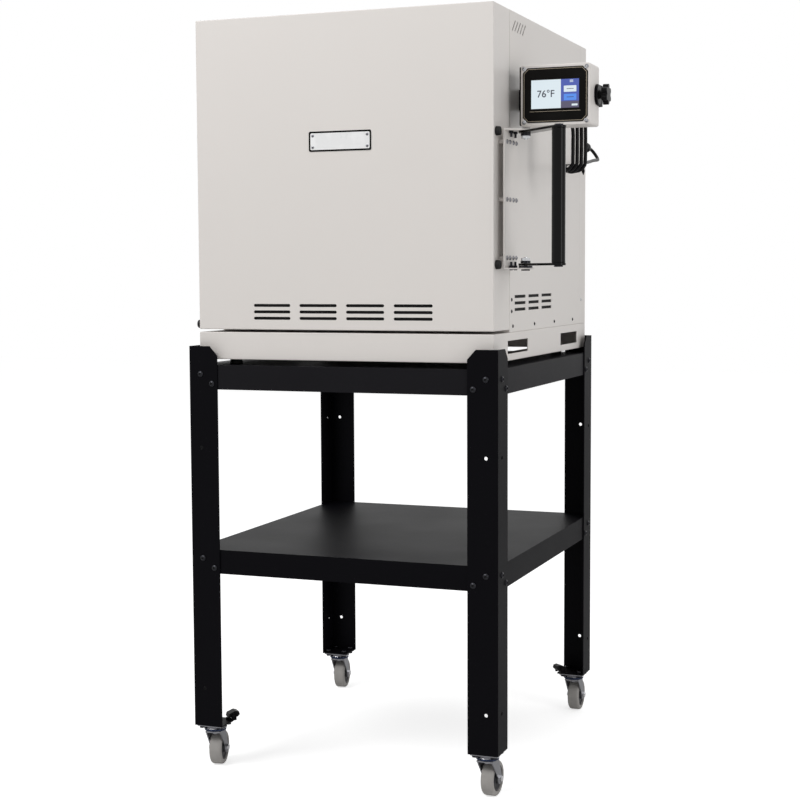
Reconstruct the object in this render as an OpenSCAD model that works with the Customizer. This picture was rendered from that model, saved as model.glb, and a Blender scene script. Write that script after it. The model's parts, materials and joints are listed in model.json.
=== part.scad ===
/* [Kiln case] */
// Width of the kiln case
case_w = 686; // [640:1:760]
// Depth from the front of the case to the back of the rear cover
case_d = 651; // [600:1:720]
// Height of the kiln case above its base skirt
case_h = 682; // [650:1:740]
// Thickness of the case sheet
sheet_t = 1.5; // [1:0.1:2.5]
// Depth of the rear cover
rear_cover_d = 57; // [45:1:70]
// Height of the base skirt
skirt_h = 60.5; // [56:0.5:75]
// Thickness of the skirt sheet
skirt_t = 2; // [1.5:0.1:3]
// Height of the rubber feet under the skirt
foot_h = 12.5; // [8:0.5:20]

/* [Firing chamber] */
// Width of the chamber
chamber_w = 457; // [420:1:470]
// Height of the chamber
chamber_h = 457; // [420:1:470]
// Depth of the chamber
chamber_d = 457; // [420:1:470]
// Height of the chamber floor above the case floor
hearth_t = 111.5; // [95:0.5:125]
// Thickness of the backup insulation board
board_t = 25; // [15:1:30]
// Air gap between the case sheet and the board
air_gap = 14; // [10:1:18]
// Number of heating element levels
element_levels = 6; // [3:1:8]
// Diameter of a heating element
element_dia = 8; // [6:0.5:10]

/* [Door] */
// Thickness of the door
door_t = 112; // [90:1:125]
// Gap between the door and the case front
door_gap = 2; // [1.5:0.1:4]
// Gap between the skirt and the bottom of the door
door_lift = 6; // [4:0.5:10]
// How far the insulation plug reaches into the chamber
plug_depth = 10; // [6:1:14]
// Clearance round the insulation plug
plug_clear = 6; // [5:0.5:12]
// Height of one cooling slot
slot_h = 6.5; // [4:0.5:9]
// Length of one cooling slot in the door
slot_len = 88; // [60:1:95]
// Distance between the rows of cooling slots
slot_rise = 14; // [11:0.5:16]

/* [Handle] */
// Distance from the pivot to the grip
arm_len = 138; // [120:1:150]
// Width of an arm
arm_w = 30; // [24:1:34]
// Thickness of an arm
arm_t = 5; // [4:0.5:7]
// Diameter of the grip tube
grip_dia = 28; // [24:1:34]
// Height of the bracket that carries the handle
bracket_h = 291; // [240:1:320]
// Reach of the bracket flanges from the door
bracket_reach = 68; // [64:1:80]

/* [Controller] */
// Width of the controller box
box_w = 149; // [140:1:170]
// Height of the controller box
box_h = 126; // [118:1:135]
// Depth of the controller box
box_d = 77; // [65:1:80]
// Gap between the case and the controller box
box_gap = 31; // [28:1:40]
// Width of the touch screen
screen_w = 105; // [95:1:108]
// Height of the touch screen
screen_h = 61; // [50:1:64]
// Diameter of the star knob over its lobes
knob_dia = 43; // [36:1:50]

/* [Stand] */
// Height of the deck that carries the kiln
deck_top = 920; // [860:5:980]
// Height of the top face of the lower shelf
shelf_top = 507; // [400:1:600]
// How far the stand is wider than the case on each side
stand_side = 16; // [12:1:24]
// How far the stand reaches in front of the door
stand_front = 20; // [8:1:26]
// Width of each flange of the leg angles
leg_w = 68; // [64:1:76]
// Thickness of the leg angles
leg_t = 3; // [2.5:0.5:5]
// Height of the folded edge of the deck and the shelf
pan_h = 54; // [48:1:60]
// Thickness of the deck and shelf sheet
pan_t = 2; // [1.5:0.5:3]

/* [Casters] */
// Diameter of a caster wheel
wheel_dia = 76; // [70:1:80]
// Width of the wheel tread
wheel_w = 28; // [24:1:30]
// Height of the caster from the floor to its top plate
caster_h = 103; // [100:1:112]
// Distance from the swivel axis to the wheel axle
caster_trail = 28; // [24:1:30]
// How far the front left caster is turned about its swivel, in degrees
turn_front_left = 11; // [-30:1:30]
// How far the front right caster is turned
turn_front_right = -3; // [-30:1:30]
// How far the rear left caster is turned
turn_rear_left = 8; // [-30:1:30]

/* [Cable] */
// Diameter of the controller cable
cable_dia = 8; // [6:0.5:8]
// Number of loops in the hank
hank_loops = 3; // [2:1:4]
// Radius of the round ends of the hank
hank_r = 24; // [24:1:36]
// Length of the straight sides of the hank
hank_side = 92; // [80:1:120]

/* [Hidden] */
$fn = 48;

// Small clearance between pieces that move past each other
clear = 0.3;
// Running clearance on the radius of a pin in its hole
running = 0.08;
cream = [0.87, 0.86, 0.84];
black = [0.06, 0.06, 0.07];
zinc = [0.72, 0.73, 0.74];
brick = [0.93, 0.90, 0.84];

// Heights
skirt_z = deck_top + foot_h;
case_z = skirt_z + skirt_h;
top_z = case_z + case_h;
door_z = case_z + door_lift;
hearth_z = case_z + sheet_t + hearth_t;
roof_z = hearth_z + chamber_h;

// Depths, from the front of the door
case_y = door_t + door_gap;
back_y = case_y + case_d;
cover_y = back_y - rear_cover_d;
brick_y = case_y + chamber_d;

// Chamber and the walls round it
chamber_x = (case_w - chamber_w) / 2;
core_x = sheet_t + air_gap;
core_front = case_y + sheet_t;
core_bottom = case_z + sheet_t;
brick_t = chamber_x - core_x - board_t;
bay_depth = 24;
bay_y = cover_y - bay_depth;
core_back = bay_y - air_gap;
core_top = top_z - sheet_t - air_gap;
back_brick_t = core_back - board_t - brick_y;
roof_brick_t = core_top - board_t - roof_z;
mouth_lip = 40;
groove = element_dia + 4;
element_in = groove / 2;
element_pitch = chamber_h / (element_levels + 1);
probe_r = 4;
probe_reach = 25;
probe_z = hearth_z + chamber_h / 2;

// Hinges on the left of the door
hinge_x = -7;
hinge_y = case_y - door_gap / 2;
knuckle_r = 6.5;
hinge_pin_r = 3;
leaf_t = 3;
leaf_w = 46;
lug_w = knuckle_r + 0.5;
hinge_len = 90;
hinge_zs = [door_z + 70, door_z + (top_z - door_z) / 2, top_z - 76];

// Cooling openings
slot_rows = 3;
slot_first = 25;
door_slot_groups = 4;
door_slot_pitch = 109.7;
side_slot_len = 84;
side_slot_y = case_y + 37;
side_slot_pitch = 106.5;
side_slot_cols = 3;
louvre_count = 5;
louvre_len = 34;
louvre_w = 4;
louvre_y = case_y + 29;
louvre_z = top_z - 30;
louvre_pitch = 19;
screw_r = 4;
screw_h = 1.6;
screw_z = case_z + 13;
side_screw_pitch = 168;
side_screw_ys = [for (k = [0:3]) case_y + 23 + k * side_screw_pitch];
front_screw_zs = [case_z + 45, case_z + 70];

// Openings through the skirt for lifting forks
fork_slot_z = skirt_z + 15;
fork_slot_h = skirt_h - 32.5;
fork_slots = [[100, 154], [531, 153]];
skirt_lip = 45;
foot_r = 15;
foot_in = 60;

// Handle bracket and handle
bracket_top = top_z - 256;
bracket_z = bracket_top - bracket_h;
bracket_t = 3;
bracket_front = 24;
bracket_back = door_t + 4;
bracket_proud = 16;
flange_r = 20;
pivot_x = case_w + bracket_reach - flange_r;
pivot_y = 70;
arm_angle = -45;
grip_x = pivot_x + arm_len * cos(arm_angle);
grip_y = pivot_y + arm_len * sin(arm_angle);
washer_t = 4.5;
washer_r = 14.5;
bush_t = 5;
bush_r = 10.4;
pivot_bolt_r = 4;
arm_top_z = bracket_top - bracket_t - clear - arm_t;
arm_bottom_z = bracket_z + bracket_t + washer_t;
grip_z = arm_bottom_z + arm_t;
grip_len = arm_top_z - grip_z;
nut_h = 5.5;
nut_r = 9.5;
head_h = 3;
grip_bolt_len = 22;
grip_bore = grip_bolt_len + 2;
stud_x = case_w + 21;
stud_ys = [55.3, 85.7];
stud_r = 2.5;
stud_nut_r = 4.6;
stud_nut_h = 5;
stud_len = 16;
bumper_r = 10;
bumper_len = 10;
bumper_y = 16;
bracket_bolt_ys = [41, 62, 86, 107];
bracket_bolt_zs = [bracket_top - 26, bracket_top - bracket_h / 2, bracket_z + 24];
badge_w = 145;
badge_h = 43.5;
badge_drop = 272;
badge_z = top_z - badge_drop;
badge_t = 1.2;

// Controller
box_x = case_w + box_gap;
box_y = 90;
box_z = bracket_top + 8;
wall_t = 2.5;
tilt_y = box_y + 55;
tilt_z = box_z + 65;
yoke_t = 3;
yoke_h = 44;
yoke_gap = 0.5;
yoke_y = box_y + box_d + 15;
yoke_left = box_x - yoke_gap - yoke_t;
yoke_right = box_x + box_w + yoke_gap;
yoke_foot = 57;
yoke_side = 12;
yoke_end_r = 20.5;
tilt_pin_r = 4;
tilt_pin_in = 12;
tilt_stud_len = 14;
panel_w = 133;
panel_h = 107;
panel_t = 1.2;
panel_notch = 10;
screen_t = 4;
screen_x = box_x + (box_w - screen_w) / 2;
screen_z = box_z + 34;
knob_t = 12;
knob_stem = 11;
knob_x = yoke_right + yoke_t;
knob_lobes = 6;
knob_lobe_r = 6;
gland_len = 18;
gland_z = box_z + 20;
gland_reach = 110;
gland_x = case_w + gland_reach;

// Stand
stand_x = -stand_side;
stand_y = -stand_front;
stand_w = case_w + 2 * stand_side;
stand_d = back_y + stand_front + 5;
leg_top = deck_top + 42;
leg_chamfer_w = 19;
leg_chamfer_h = 21;
bolt_in = 27;
bolt_out = 55;
bolt_drop = 21;
bolt_down = 20;
stand_bolt_r = 4;
bolt_head_t = 3.5;
spare_zs = [leg_top - 226.5, caster_h + 87];
corners = [[0, 0], [1, 0], [0, 1], [1, 1]];

// Casters
wheel_r = wheel_dia / 2;
plate_s = 60;
plate_t = 3;
swivel_in = leg_w / 2;
foot_bolt_in = 22;
race_r = 23;
race_z = caster_h - plate_t - 7;
race_h = 6;
crown_t = 3;
kingpin_r = 5;
fork_gap = 1.5;
fork_t = 2.5;
fork_x = wheel_w / 2 + fork_gap;
axle_r = 4;
hub_r = wheel_r - 10;
hub_bore_r = axle_r + running;
pedal_out = 40;
pedal_z = caster_h + plate_t + 11;
pedal_w = 22;
ear_t = 3;
pedal_pin_r = 2.5;

// Cable
cable_r = cable_dia / 2;
drop_r = 4 * cable_dia;
hank_x = gland_x - hank_r;
hank_pitch = cable_dia + 0.8;
hank_shift = 7;
drop_end = 4;
hank_z = gland_z - drop_r - drop_end;
hank_y = box_y + box_d + gland_len + 4 + drop_r;
hank_turns = hank_loops + 0.25;
connector_h = 443;
connector_x = case_w - 15;
connector_z = case_z + connector_h;
connector_len = 8;
plug_len = 60;
plug_r = 12;
relief_len = 10;
plug_end = back_y + connector_len + plug_len + relief_len;

hank_steps = 24;

// One point of the hank, counted in turns from its front right side
function hank_point(turn) =
    let (a = -360 * turn, s = sin(a))
    [hank_x + hank_shift * turn + hank_r * cos(a),
     hank_y + hank_pitch * turn,
     hank_z + hank_r * s + (abs(s) < 0.01 ? 0 : sign(s) * hank_side / 2)];
hank_points = [for (i = [0:hank_steps * hank_turns]) hank_point(i / hank_steps)];
hank_end = hank_points[len(hank_points) - 1];
hank_out = unit(hank_end - hank_points[len(hank_points) - 2]);

// Route of the lead from the bottom of the hank to the plug
lead_points = [
    hank_end,
    hank_end + 11 * hank_out,
    [777.5, 251.5, 1341.5], [771, 255, 1342.5], [766, 260, 1343.5], [762, 266, 1344.5],
    [760, 273, 1345.5], [759, 285, 1347], [757, 310, 1349], [752, 350, 1352],
    [745, 420, 1358], [735, 500, 1366.5], [722, 580, 1376], [709, 650, 1384],
    [700, 710, 1390], [696, 750, 1394], [694, 785, 1398], [692.5, 820, 1402.5],
    [691, 868, 1407], [689.7, 876.8, 1409], [686, 883.2, 1414.5], [681, 885.6, 1421.7],
    [676, 883.2, 1429], [672.3, 876.8, 1434],
    [connector_x, 868, connector_z],
    [connector_x, plug_end, connector_z]
];
drop_points = concat(
    [[gland_x, box_y + box_d + gland_len, gland_z]],
    [for (a = [0:15:90])
        [gland_x, hank_y - drop_r + drop_r * sin(a), gland_z - drop_r + drop_r * cos(a)]],
    [[gland_x, hank_y, hank_z + clear]]
);

// Least distance between strands of neighbouring loops, less the cable
hank_gap = min([
    for (i = [0:len(hank_points) - 1], j = [0:len(hank_points) - 1])
        if (j > i + hank_steps / 2) norm(hank_points[j] - hank_points[i])
]) - cable_dia;
echo(hank_gap = hank_gap);

function unit(v) = v / norm(v);
function tangent(p, i) =
    i == 0 ? unit(p[1] - p[0]) :
    i == len(p) - 1 ? unit(p[i] - p[i - 1]) :
    unit(unit(p[i + 1] - p[i]) + unit(p[i] - p[i - 1]));
function side_of(t, n) = unit(n - (n * t) * t);
function sides_along(p, n, i = 0) =
    i == len(p) ? [] :
    let (m = side_of(tangent(p, i), n)) concat([m], sides_along(p, m, i + 1));

// Tube swept along a list of points, with flat ends
module tube(p, r, n, first) {
    rings = len(p);
    sides = sides_along(p, first);
    points = [
        for (i = [0:rings - 1], k = [0:n - 1])
            let (t = tangent(p, i), u = sides[i], v = cross(t, u), a = 360 * k / n)
            p[i] + r * (cos(a) * u + sin(a) * v)
    ];
    walls = [
        for (i = [0:rings - 2], k = [0:n - 1], h = [0:1])
            let (a = i * n + k, b = i * n + (k + 1) % n, c = a + n, d = b + n)
            h == 0 ? [a, b, d] : [a, d, c]
    ];
    ends = [
        for (k = [1:n - 2]) [0, k + 1, k],
        for (k = [1:n - 2]) let (o = (rings - 1) * n) [o, o + k, o + k + 1]
    ];
    polyhedron([for (q = points) q], [for (f = concat(walls, ends)) [f[2], f[1], f[0]]]);
}

// Middle of the space that the object fills, without the cable
low_x = -stand_side - bolt_head_t;
high_x = knob_x + knob_stem + knob_t;
low_y = grip_y - arm_w / 2;
high_y = stand_y + stand_d - swivel_in + caster_trail + wheel_r;
module place() {
    translate([-(low_x + high_x) / 2, -(low_y + high_y) / 2, 0]) children();
}

// Flat shapes
module round_rect(w, h, r) {
    translate([r, 0]) square([w - 2 * r, h]);
    translate([0, r]) square([w, h - 2 * r]);
    for (x = [r, w - r], y = [r, h - r]) translate([x, y]) circle(r);
}
module slot(len, h) {
    translate([-len / 2 + h / 2, -h / 2]) square([len - h, h]);
    for (s = [-1, 1]) translate([s * (len - h) / 2, 0]) circle(h / 2);
}

// Solids that lie along an axis
module rod_x(x, len, y, z, r) {
    translate([x, y, z]) rotate([0, 90, 0]) cylinder(h = len, r = r);
}
module rod_y(y, len, x, z, r) {
    translate([x, y, z]) rotate([-90, 0, 0]) cylinder(h = len, r = r);
}
module rod_z(z, len, x, y, r) {
    translate([x, y, z]) cylinder(h = len, r = r);
}
module hex_z(z, len, x, y, r) {
    translate([x, y, z]) cylinder(h = len, r = r, $fn = 6);
}

// Kiln case
module side_vents(x) {
    for (c = [0:side_slot_cols - 1], r = [0:slot_rows - 1])
        translate([x, side_slot_y + c * side_slot_pitch, case_z + 45 + r * slot_rise])
            cube([sheet_t + 2, side_slot_len, slot_h]);
    for (k = [0:louvre_count - 1])
        translate([x, louvre_y + k * louvre_pitch, louvre_z])
            rotate([-45, 0, 0])
                translate([0, -louvre_w / 2, -louvre_len / 2])
                    cube([sheet_t + 2, louvre_w, louvre_len]);
}
module kiln_case() {
    color(cream) place() difference() {
        translate([0, case_y, case_z]) cube([case_w, cover_y - case_y, case_h]);
        translate([sheet_t, core_front, core_bottom])
            cube([case_w - 2 * sheet_t, bay_y - core_front, case_h - 2 * sheet_t]);
        translate([sheet_t, bay_y + sheet_t, core_bottom])
            cube([case_w - 2 * sheet_t, cover_y - bay_y, case_h - 2 * sheet_t]);
        translate([chamber_x - mouth_lip, case_y - 1, hearth_z - mouth_lip])
            cube([chamber_w + 2 * mouth_lip, sheet_t + 2, chamber_h + 2 * mouth_lip]);
        side_vents(-1);
        side_vents(case_w - sheet_t - 1);
        rod_y(bay_y - 1, sheet_t + 2, case_w / 2, probe_z, probe_r + clear);
    }
}
module rear_cover() {
    color(cream) place() difference() {
        translate([0, cover_y, case_z]) cube([case_w, rear_cover_d, case_h]);
        translate([sheet_t, cover_y - 1, core_bottom])
            cube([case_w - 2 * sheet_t, rear_cover_d - sheet_t + 1, case_h - 2 * sheet_t]);
        for (g = [0:door_slot_groups - 1], r = [0:slot_rows - 1], z = [case_z + 40, top_z - 70])
            translate([case_w / 2 + (g - 1.5) * door_slot_pitch, back_y + 1, z + r * slot_rise])
                rotate([90, 0, 0]) linear_extrude(sheet_t + 2) slot(slot_len, slot_h);
    }
}
module base_skirt() {
    color(cream) place() difference() {
        translate([0, 0, skirt_z]) cube([case_w, back_y, skirt_h]);
        translate([skirt_t, skirt_t, skirt_z + skirt_t])
            cube([case_w - 2 * skirt_t, back_y - 2 * skirt_t, skirt_h - 2 * skirt_t]);
        translate([foot_in + skirt_lip, skirt_lip, skirt_z - 1])
            cube([case_w - 2 * (foot_in + skirt_lip), back_y - 2 * skirt_lip, skirt_t + 2]);
        for (s = fork_slots)
            translate([-1, s[0], fork_slot_z]) cube([case_w + 2, s[1], fork_slot_h]);
    }
}
module kiln_feet() {
    color(black) place()
        for (x = [foot_in, case_w - foot_in], y = [foot_in, back_y - foot_in])
            translate([x, y, deck_top]) cylinder(h = foot_h, r1 = foot_r, r2 = foot_r - 2);
}

// Insulation and brick
module probe_hole() {
    rod_y(brick_y - 1, bay_y - brick_y + 2, case_w / 2, probe_z, probe_r + clear);
}
module case_insulation() {
    color("whitesmoke") place() difference() {
        translate([core_x, core_front, core_bottom])
            cube([case_w - 2 * core_x, core_back - core_front, core_top - core_bottom]);
        translate([core_x + board_t, core_front - 1, core_bottom - 1])
            cube([
                case_w - 2 * (core_x + board_t),
                core_back - board_t - core_front + 1,
                core_top - board_t - core_bottom + 1
            ]);
        probe_hole();
    }
}
module element_groove(z) {
    g = groove;
    translate([chamber_x - g, case_y + 40, z]) cube([g + 1, brick_y - case_y - 39, g]);
    translate([chamber_x + chamber_w - 1, case_y + 40, z]) cube([g + 1, brick_y - case_y - 39, g]);
    translate([chamber_x - g, brick_y - 1, z]) cube([chamber_w + 2 * g, g + 1, g]);
}
module firebrick_walls() {
    wall_z = hearth_z;
    color(brick) place() difference() {
        union() {
            for (x = [core_x + board_t, chamber_x + chamber_w])
                translate([x, core_front, wall_z])
                    cube([brick_t, brick_y - core_front - clear, chamber_h]);
            translate([core_x + board_t, brick_y, wall_z])
                cube([case_w - 2 * (core_x + board_t), back_brick_t, chamber_h]);
        }
        for (k = [1:element_levels]) element_groove(wall_z + k * element_pitch - groove / 2);
        probe_hole();
    }
}
module firebrick_roof() {
    color(brick) place()
        translate([core_x + board_t, core_front, roof_z])
            cube([
                case_w - 2 * (core_x + board_t),
                brick_y + back_brick_t - core_front, roof_brick_t
            ]);
}
module firebrick_hearth() {
    color(brick) place()
        translate([core_x + board_t, core_front, core_bottom])
            cube([
                case_w - 2 * (core_x + board_t),
                brick_y + back_brick_t - core_front, hearth_t
            ]);
}
module heating_elements() {
    r = element_dia / 2;
    left = chamber_x - element_in;
    right = chamber_x + chamber_w + element_in;
    back = brick_y + element_in;
    front = case_y + 46;
    color("dimgray") place()
        for (k = [1:element_levels]) {
            z = hearth_z + k * element_pitch - groove / 2 + r + 0.2;
            rod_y(front, back - front, left, z, r);
            rod_y(front, back - front, right, z, r);
            rod_x(left, right - left, back, z, r);
            for (x = [left, right]) translate([x, back, z]) sphere(r);
        }
}
module thermocouple() {
    color("white") place() {
        rod_y(brick_y - probe_reach, bay_y + sheet_t + 4 - brick_y + probe_reach,
            case_w / 2, probe_z, probe_r);
        translate([case_w / 2 - 15, bay_y + sheet_t, probe_z - 12]) cube([30, 14, 24]);
    }
}

// Screws on the case, each a low round head with a flat underside
module screw_x(x, dir, y, z) {
    translate([x, y, z]) rotate([0, dir * 90, 0]) cylinder(h = screw_h, r1 = screw_r, r2 = screw_r - 1);
}
module case_screws() {
    color(zinc) place() {
        for (s = [0, 1]) {
            for (y = side_screw_ys) screw_x(s * case_w, 2 * s - 1, y, screw_z);
            for (z = [case_z + 60, top_z - 60])
                screw_x(s * case_w, 2 * s - 1, cover_y + 14, z);
        }
        for (z = front_screw_zs) screw_x(case_w, 1, case_y + 14, z);
        for (x = [20, case_w - 20], z = [case_z + 20, top_z - 20])
            translate([x, back_y, z]) rotate([-90, 0, 0]) cylinder(h = screw_h, r1 = screw_r, r2 = screw_r - 1);
    }
}

// Hinges: the case leaf holds the outer knuckles and the door leaf the middle one
knuckle = hinge_len / 3;
module knuckle_z(z, len) {
    rod_z(z, len, hinge_x, hinge_y, knuckle_r);
}
module pin_hole(z) {
    rod_z(z - hinge_len, 2 * hinge_len, hinge_x, hinge_y, hinge_pin_r + running);
}
module hinge_body_leaves() {
    color(zinc) place()
        for (z = hinge_zs)
            difference() {
                union() {
                    for (s = [-1, 1]) knuckle_z(z + s * knuckle - knuckle / 2, knuckle);
                    translate([-leaf_t, hinge_y + lug_w, z - hinge_len / 2])
                        cube([leaf_t, leaf_w, hinge_len]);
                    for (s = [-1, 1])
                        translate([-leaf_t, hinge_y, z + s * knuckle - knuckle / 2])
                            cube([leaf_t, lug_w, knuckle]);
                }
                pin_hole(z);
            }
}
module hinge_pins() {
    color(zinc) place()
        for (z = hinge_zs) {
            rod_z(z - hinge_len / 2 - 3, hinge_len + 6, hinge_x, hinge_y, hinge_pin_r);
            rod_z(z + hinge_len / 2, 3, hinge_x, hinge_y, hinge_pin_r + 2);
        }
}
module hinge_door_leaves() {
    color(zinc) place()
        for (z = hinge_zs)
            difference() {
                union() {
                    knuckle_z(z - knuckle / 2 + clear, knuckle - 2 * clear);
                    translate([-leaf_t, hinge_y - lug_w - leaf_w, z - hinge_len / 2])
                        cube([leaf_t, leaf_w, hinge_len]);
                    translate([-leaf_t, hinge_y - lug_w, z - knuckle / 2 + clear])
                        cube([leaf_t, lug_w, knuckle - 2 * clear]);
                }
                pin_hole(z);
            }
}

// Controller yoke: a foot on the case, a back plate and two arms
module yoke_arm(x) {
    translate([x, tilt_y, tilt_z - yoke_h / 2]) cube([yoke_t, yoke_y + yoke_t - tilt_y, yoke_h]);
    rod_x(x, yoke_t, tilt_y, tilt_z, yoke_h / 2);
}
module yoke_side_plate() {
    translate([yoke_left, tilt_y - yoke_side, box_z + 2])
        cube([yoke_t, yoke_y + yoke_t - tilt_y + yoke_side, box_h - 4]);
}
module controller_yoke() {
    color(black) place() difference() {
        union() {
            translate([case_w, yoke_y, tilt_z - yoke_h / 2]) cube([yoke_t, yoke_foot, yoke_h]);
            translate([case_w, yoke_y, tilt_z - yoke_h / 2])
                cube([yoke_right + yoke_t - case_w, yoke_t, yoke_h]);
            yoke_side_plate();
            yoke_arm(yoke_left);
            yoke_arm(yoke_right);
            for (y = [yoke_y + 22, yoke_y + 44], z = [tilt_z - 15, tilt_z + 15])
                rod_x(case_w + yoke_t, 4, y, z, 5);
        }
        rod_x(yoke_left - 1, yoke_t + 2, tilt_y, tilt_z, tilt_pin_r + running);
        rod_x(yoke_right - 1, yoke_t + 2, tilt_y, tilt_z, tilt_pin_r + running);
    }
}
module rear_connectors() {
    color(black) place() {
        rod_y(back_y, 3, connector_x, connector_z, plug_r);
        rod_y(back_y + 3, connector_len - 3, connector_x, connector_z, plug_r - 3);
        difference() {
            union() {
                rod_y(back_y, 4, 90, case_z + 110, 26);
                translate([90, back_y + 4, case_z + 110]) rotate([-90, 0, 0])
                    cylinder(h = 12, r = 22, $fn = 6);
                rod_y(back_y + 16, 8, 90, case_z + 110, 17);
            }
            rod_y(back_y + 5, 20, 90, case_z + 110, 9);
        }
    }
}

// Stand
module to_corner(c) {
    translate([stand_x + c[0] * stand_w, stand_y + c[1] * stand_d, 0])
        mirror([c[0], 0, 0]) mirror([0, c[1], 0]) children();
}
pan_bolt_zs = [deck_top - bolt_down, shelf_top - bolt_down];
module flange_holes(zs, d) {
    for (z = zs) {
        rod_y(-1, leg_t + pan_t + 2, d, z, stand_bolt_r + running);
        rod_x(-1, leg_t + pan_t + 2, d, z, stand_bolt_r + running);
    }
}
module leg_chamfer() {
    rotate([90, 0, 0]) translate([0, 0, -leg_t - 1]) linear_extrude(leg_t + 2)
        polygon([
            [leg_w - leg_chamfer_w, leg_top + 1], [leg_w + 1, leg_top + 1],
            [leg_w + 1, leg_top - leg_chamfer_h], [leg_w, leg_top - leg_chamfer_h],
            [leg_w - leg_chamfer_w, leg_top]
        ]);
}
module leg(c) {
    color(black) place() to_corner(c) difference() {
        union() {
            translate([0, 0, caster_h]) cube([leg_w, leg_t, leg_top - caster_h]);
            translate([0, 0, caster_h]) cube([leg_t, leg_w, leg_top - caster_h]);
            translate([0, 0, caster_h]) cube([leg_w, leg_w, plate_t]);
        }
        leg_chamfer();
        mirror([1, -1, 0]) leg_chamfer();
        flange_holes(concat(pan_bolt_zs, spare_zs), bolt_in);
        flange_holes([for (z = pan_bolt_zs) z - bolt_drop], bolt_out);
        foot_bolts() rod_z(caster_h - 1, plate_t + 2, 0, 0, stand_bolt_r + running);
        rod_z(caster_h - 1, plate_t + 2, swivel_in, swivel_in, kingpin_r + 2);
    }
}
module foot_bolts() {
    for (x = [-1, 1], y = [-1, 1])
        translate([swivel_in + x * foot_bolt_in, swivel_in + y * foot_bolt_in, 0]) children();
}
module leg_front_left() { leg(corners[0]); }
module leg_front_right() { leg(corners[1]); }
module leg_rear_left() { leg(corners[2]); }
module leg_rear_right() { leg(corners[3]); }
module pan(top) {
    difference() {
        translate([stand_x + leg_t, stand_y + leg_t, top - pan_h])
            cube([stand_w - 2 * leg_t, stand_d - 2 * leg_t, pan_h]);
        translate([stand_x + leg_t + pan_t, stand_y + leg_t + pan_t, top - pan_h - 1])
            cube([
                stand_w - 2 * (leg_t + pan_t), stand_d - 2 * (leg_t + pan_t), pan_h - pan_t + 1
            ]);
        for (c = corners) to_corner(c) {
            flange_holes([top - bolt_down], bolt_in);
            flange_holes([top - bolt_down - bolt_drop], bolt_out);
        }
    }
}
module stand_deck() { color(black) place() pan(deck_top); }
module stand_shelf() { color(black) place() pan(shelf_top); }
module stand_bolt_y(d, z) {
    translate([d, 0, z]) rotate([90, 0, 0]) cylinder(h = bolt_head_t, r1 = 6.5, r2 = 5);
    rod_y(0, leg_t + pan_t, d, z, stand_bolt_r);
    translate([d, leg_t + pan_t, z]) rotate([-90, 0, 0]) cylinder(h = 5, r = 7, $fn = 6);
}
module stand_bolts() {
    color([0.2, 0.2, 0.22]) place()
        for (c = corners) to_corner(c) {
            for (z = pan_bolt_zs) {
                stand_bolt_y(bolt_in, z);
                stand_bolt_y(bolt_out, z - bolt_drop);
                mirror([1, -1, 0]) stand_bolt_y(bolt_in, z);
                mirror([1, -1, 0]) stand_bolt_y(bolt_out, z - bolt_drop);
            }
            foot_bolts() {
                hex_z(caster_h - plate_t - 5, 5, 0, 0, 6.5);
                rod_z(caster_h - plate_t, 2 * plate_t + nut_h, 0, 0, stand_bolt_r);
                hex_z(caster_h + plate_t, nut_h, 0, 0, 6.5);
            }
        }
}

// Casters
module pedal_frame() {
    translate([swivel_in, swivel_in, 0]) rotate([0, 0, 45]) children();
}
module caster_plates() {
    color(zinc) place()
        for (c = corners) to_corner(c) {
            difference() {
                union() {
                    translate([swivel_in - plate_s / 2, swivel_in - plate_s / 2, caster_h - plate_t])
                        cube([plate_s, plate_s, plate_t]);
                    rod_z(race_z, 7, swivel_in, swivel_in, race_r);
                    rod_z(race_z - race_h - crown_t - 1, 20, swivel_in, swivel_in, kingpin_r);
                    rod_z(race_z - race_h - crown_t - 6, 5, swivel_in, swivel_in, kingpin_r + 3);
                }
                foot_bolts() rod_z(caster_h - plate_t - 1, plate_t + 2, 0, 0, stand_bolt_r + running);
            }
            if (c[0] == c[1]) pedal_frame() pedal_ears();
        }
}
module pedal_ears() {
    z = caster_h + plate_t;
    for (s = [-1, 1])
        difference() {
            translate([pedal_out - 6, s * (pedal_w / 2 + clear + ear_t / 2) - ear_t / 2, z])
                cube([12, ear_t, pedal_z + 5 - z]);
            rod_y(-pedal_w, 2 * pedal_w, pedal_out, pedal_z, pedal_pin_r + running);
        }
}
module pedal(c) {
    color(black) place() to_corner(c) pedal_frame() {
        translate([0, pedal_w / 2, 0]) rotate([90, 0, 0]) linear_extrude(pedal_w)
            polygon([
                [pedal_out - 12, pedal_z - 4], [pedal_out + 10, pedal_z - 4],
                [pedal_out + 15, pedal_z + 1], [pedal_out + 13, pedal_z + 8],
                [pedal_out + 5, pedal_z + 10], [pedal_out - 10, pedal_z + 4]
            ]);
        rod_y(-pedal_w / 2 - clear - ear_t, pedal_w + 2 * (clear + ear_t), pedal_out, pedal_z, pedal_pin_r);
    }
}
module brake_pedal_front_left() { pedal(corners[0]); }
module brake_pedal_rear_right() { pedal(corners[3]); }

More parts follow.
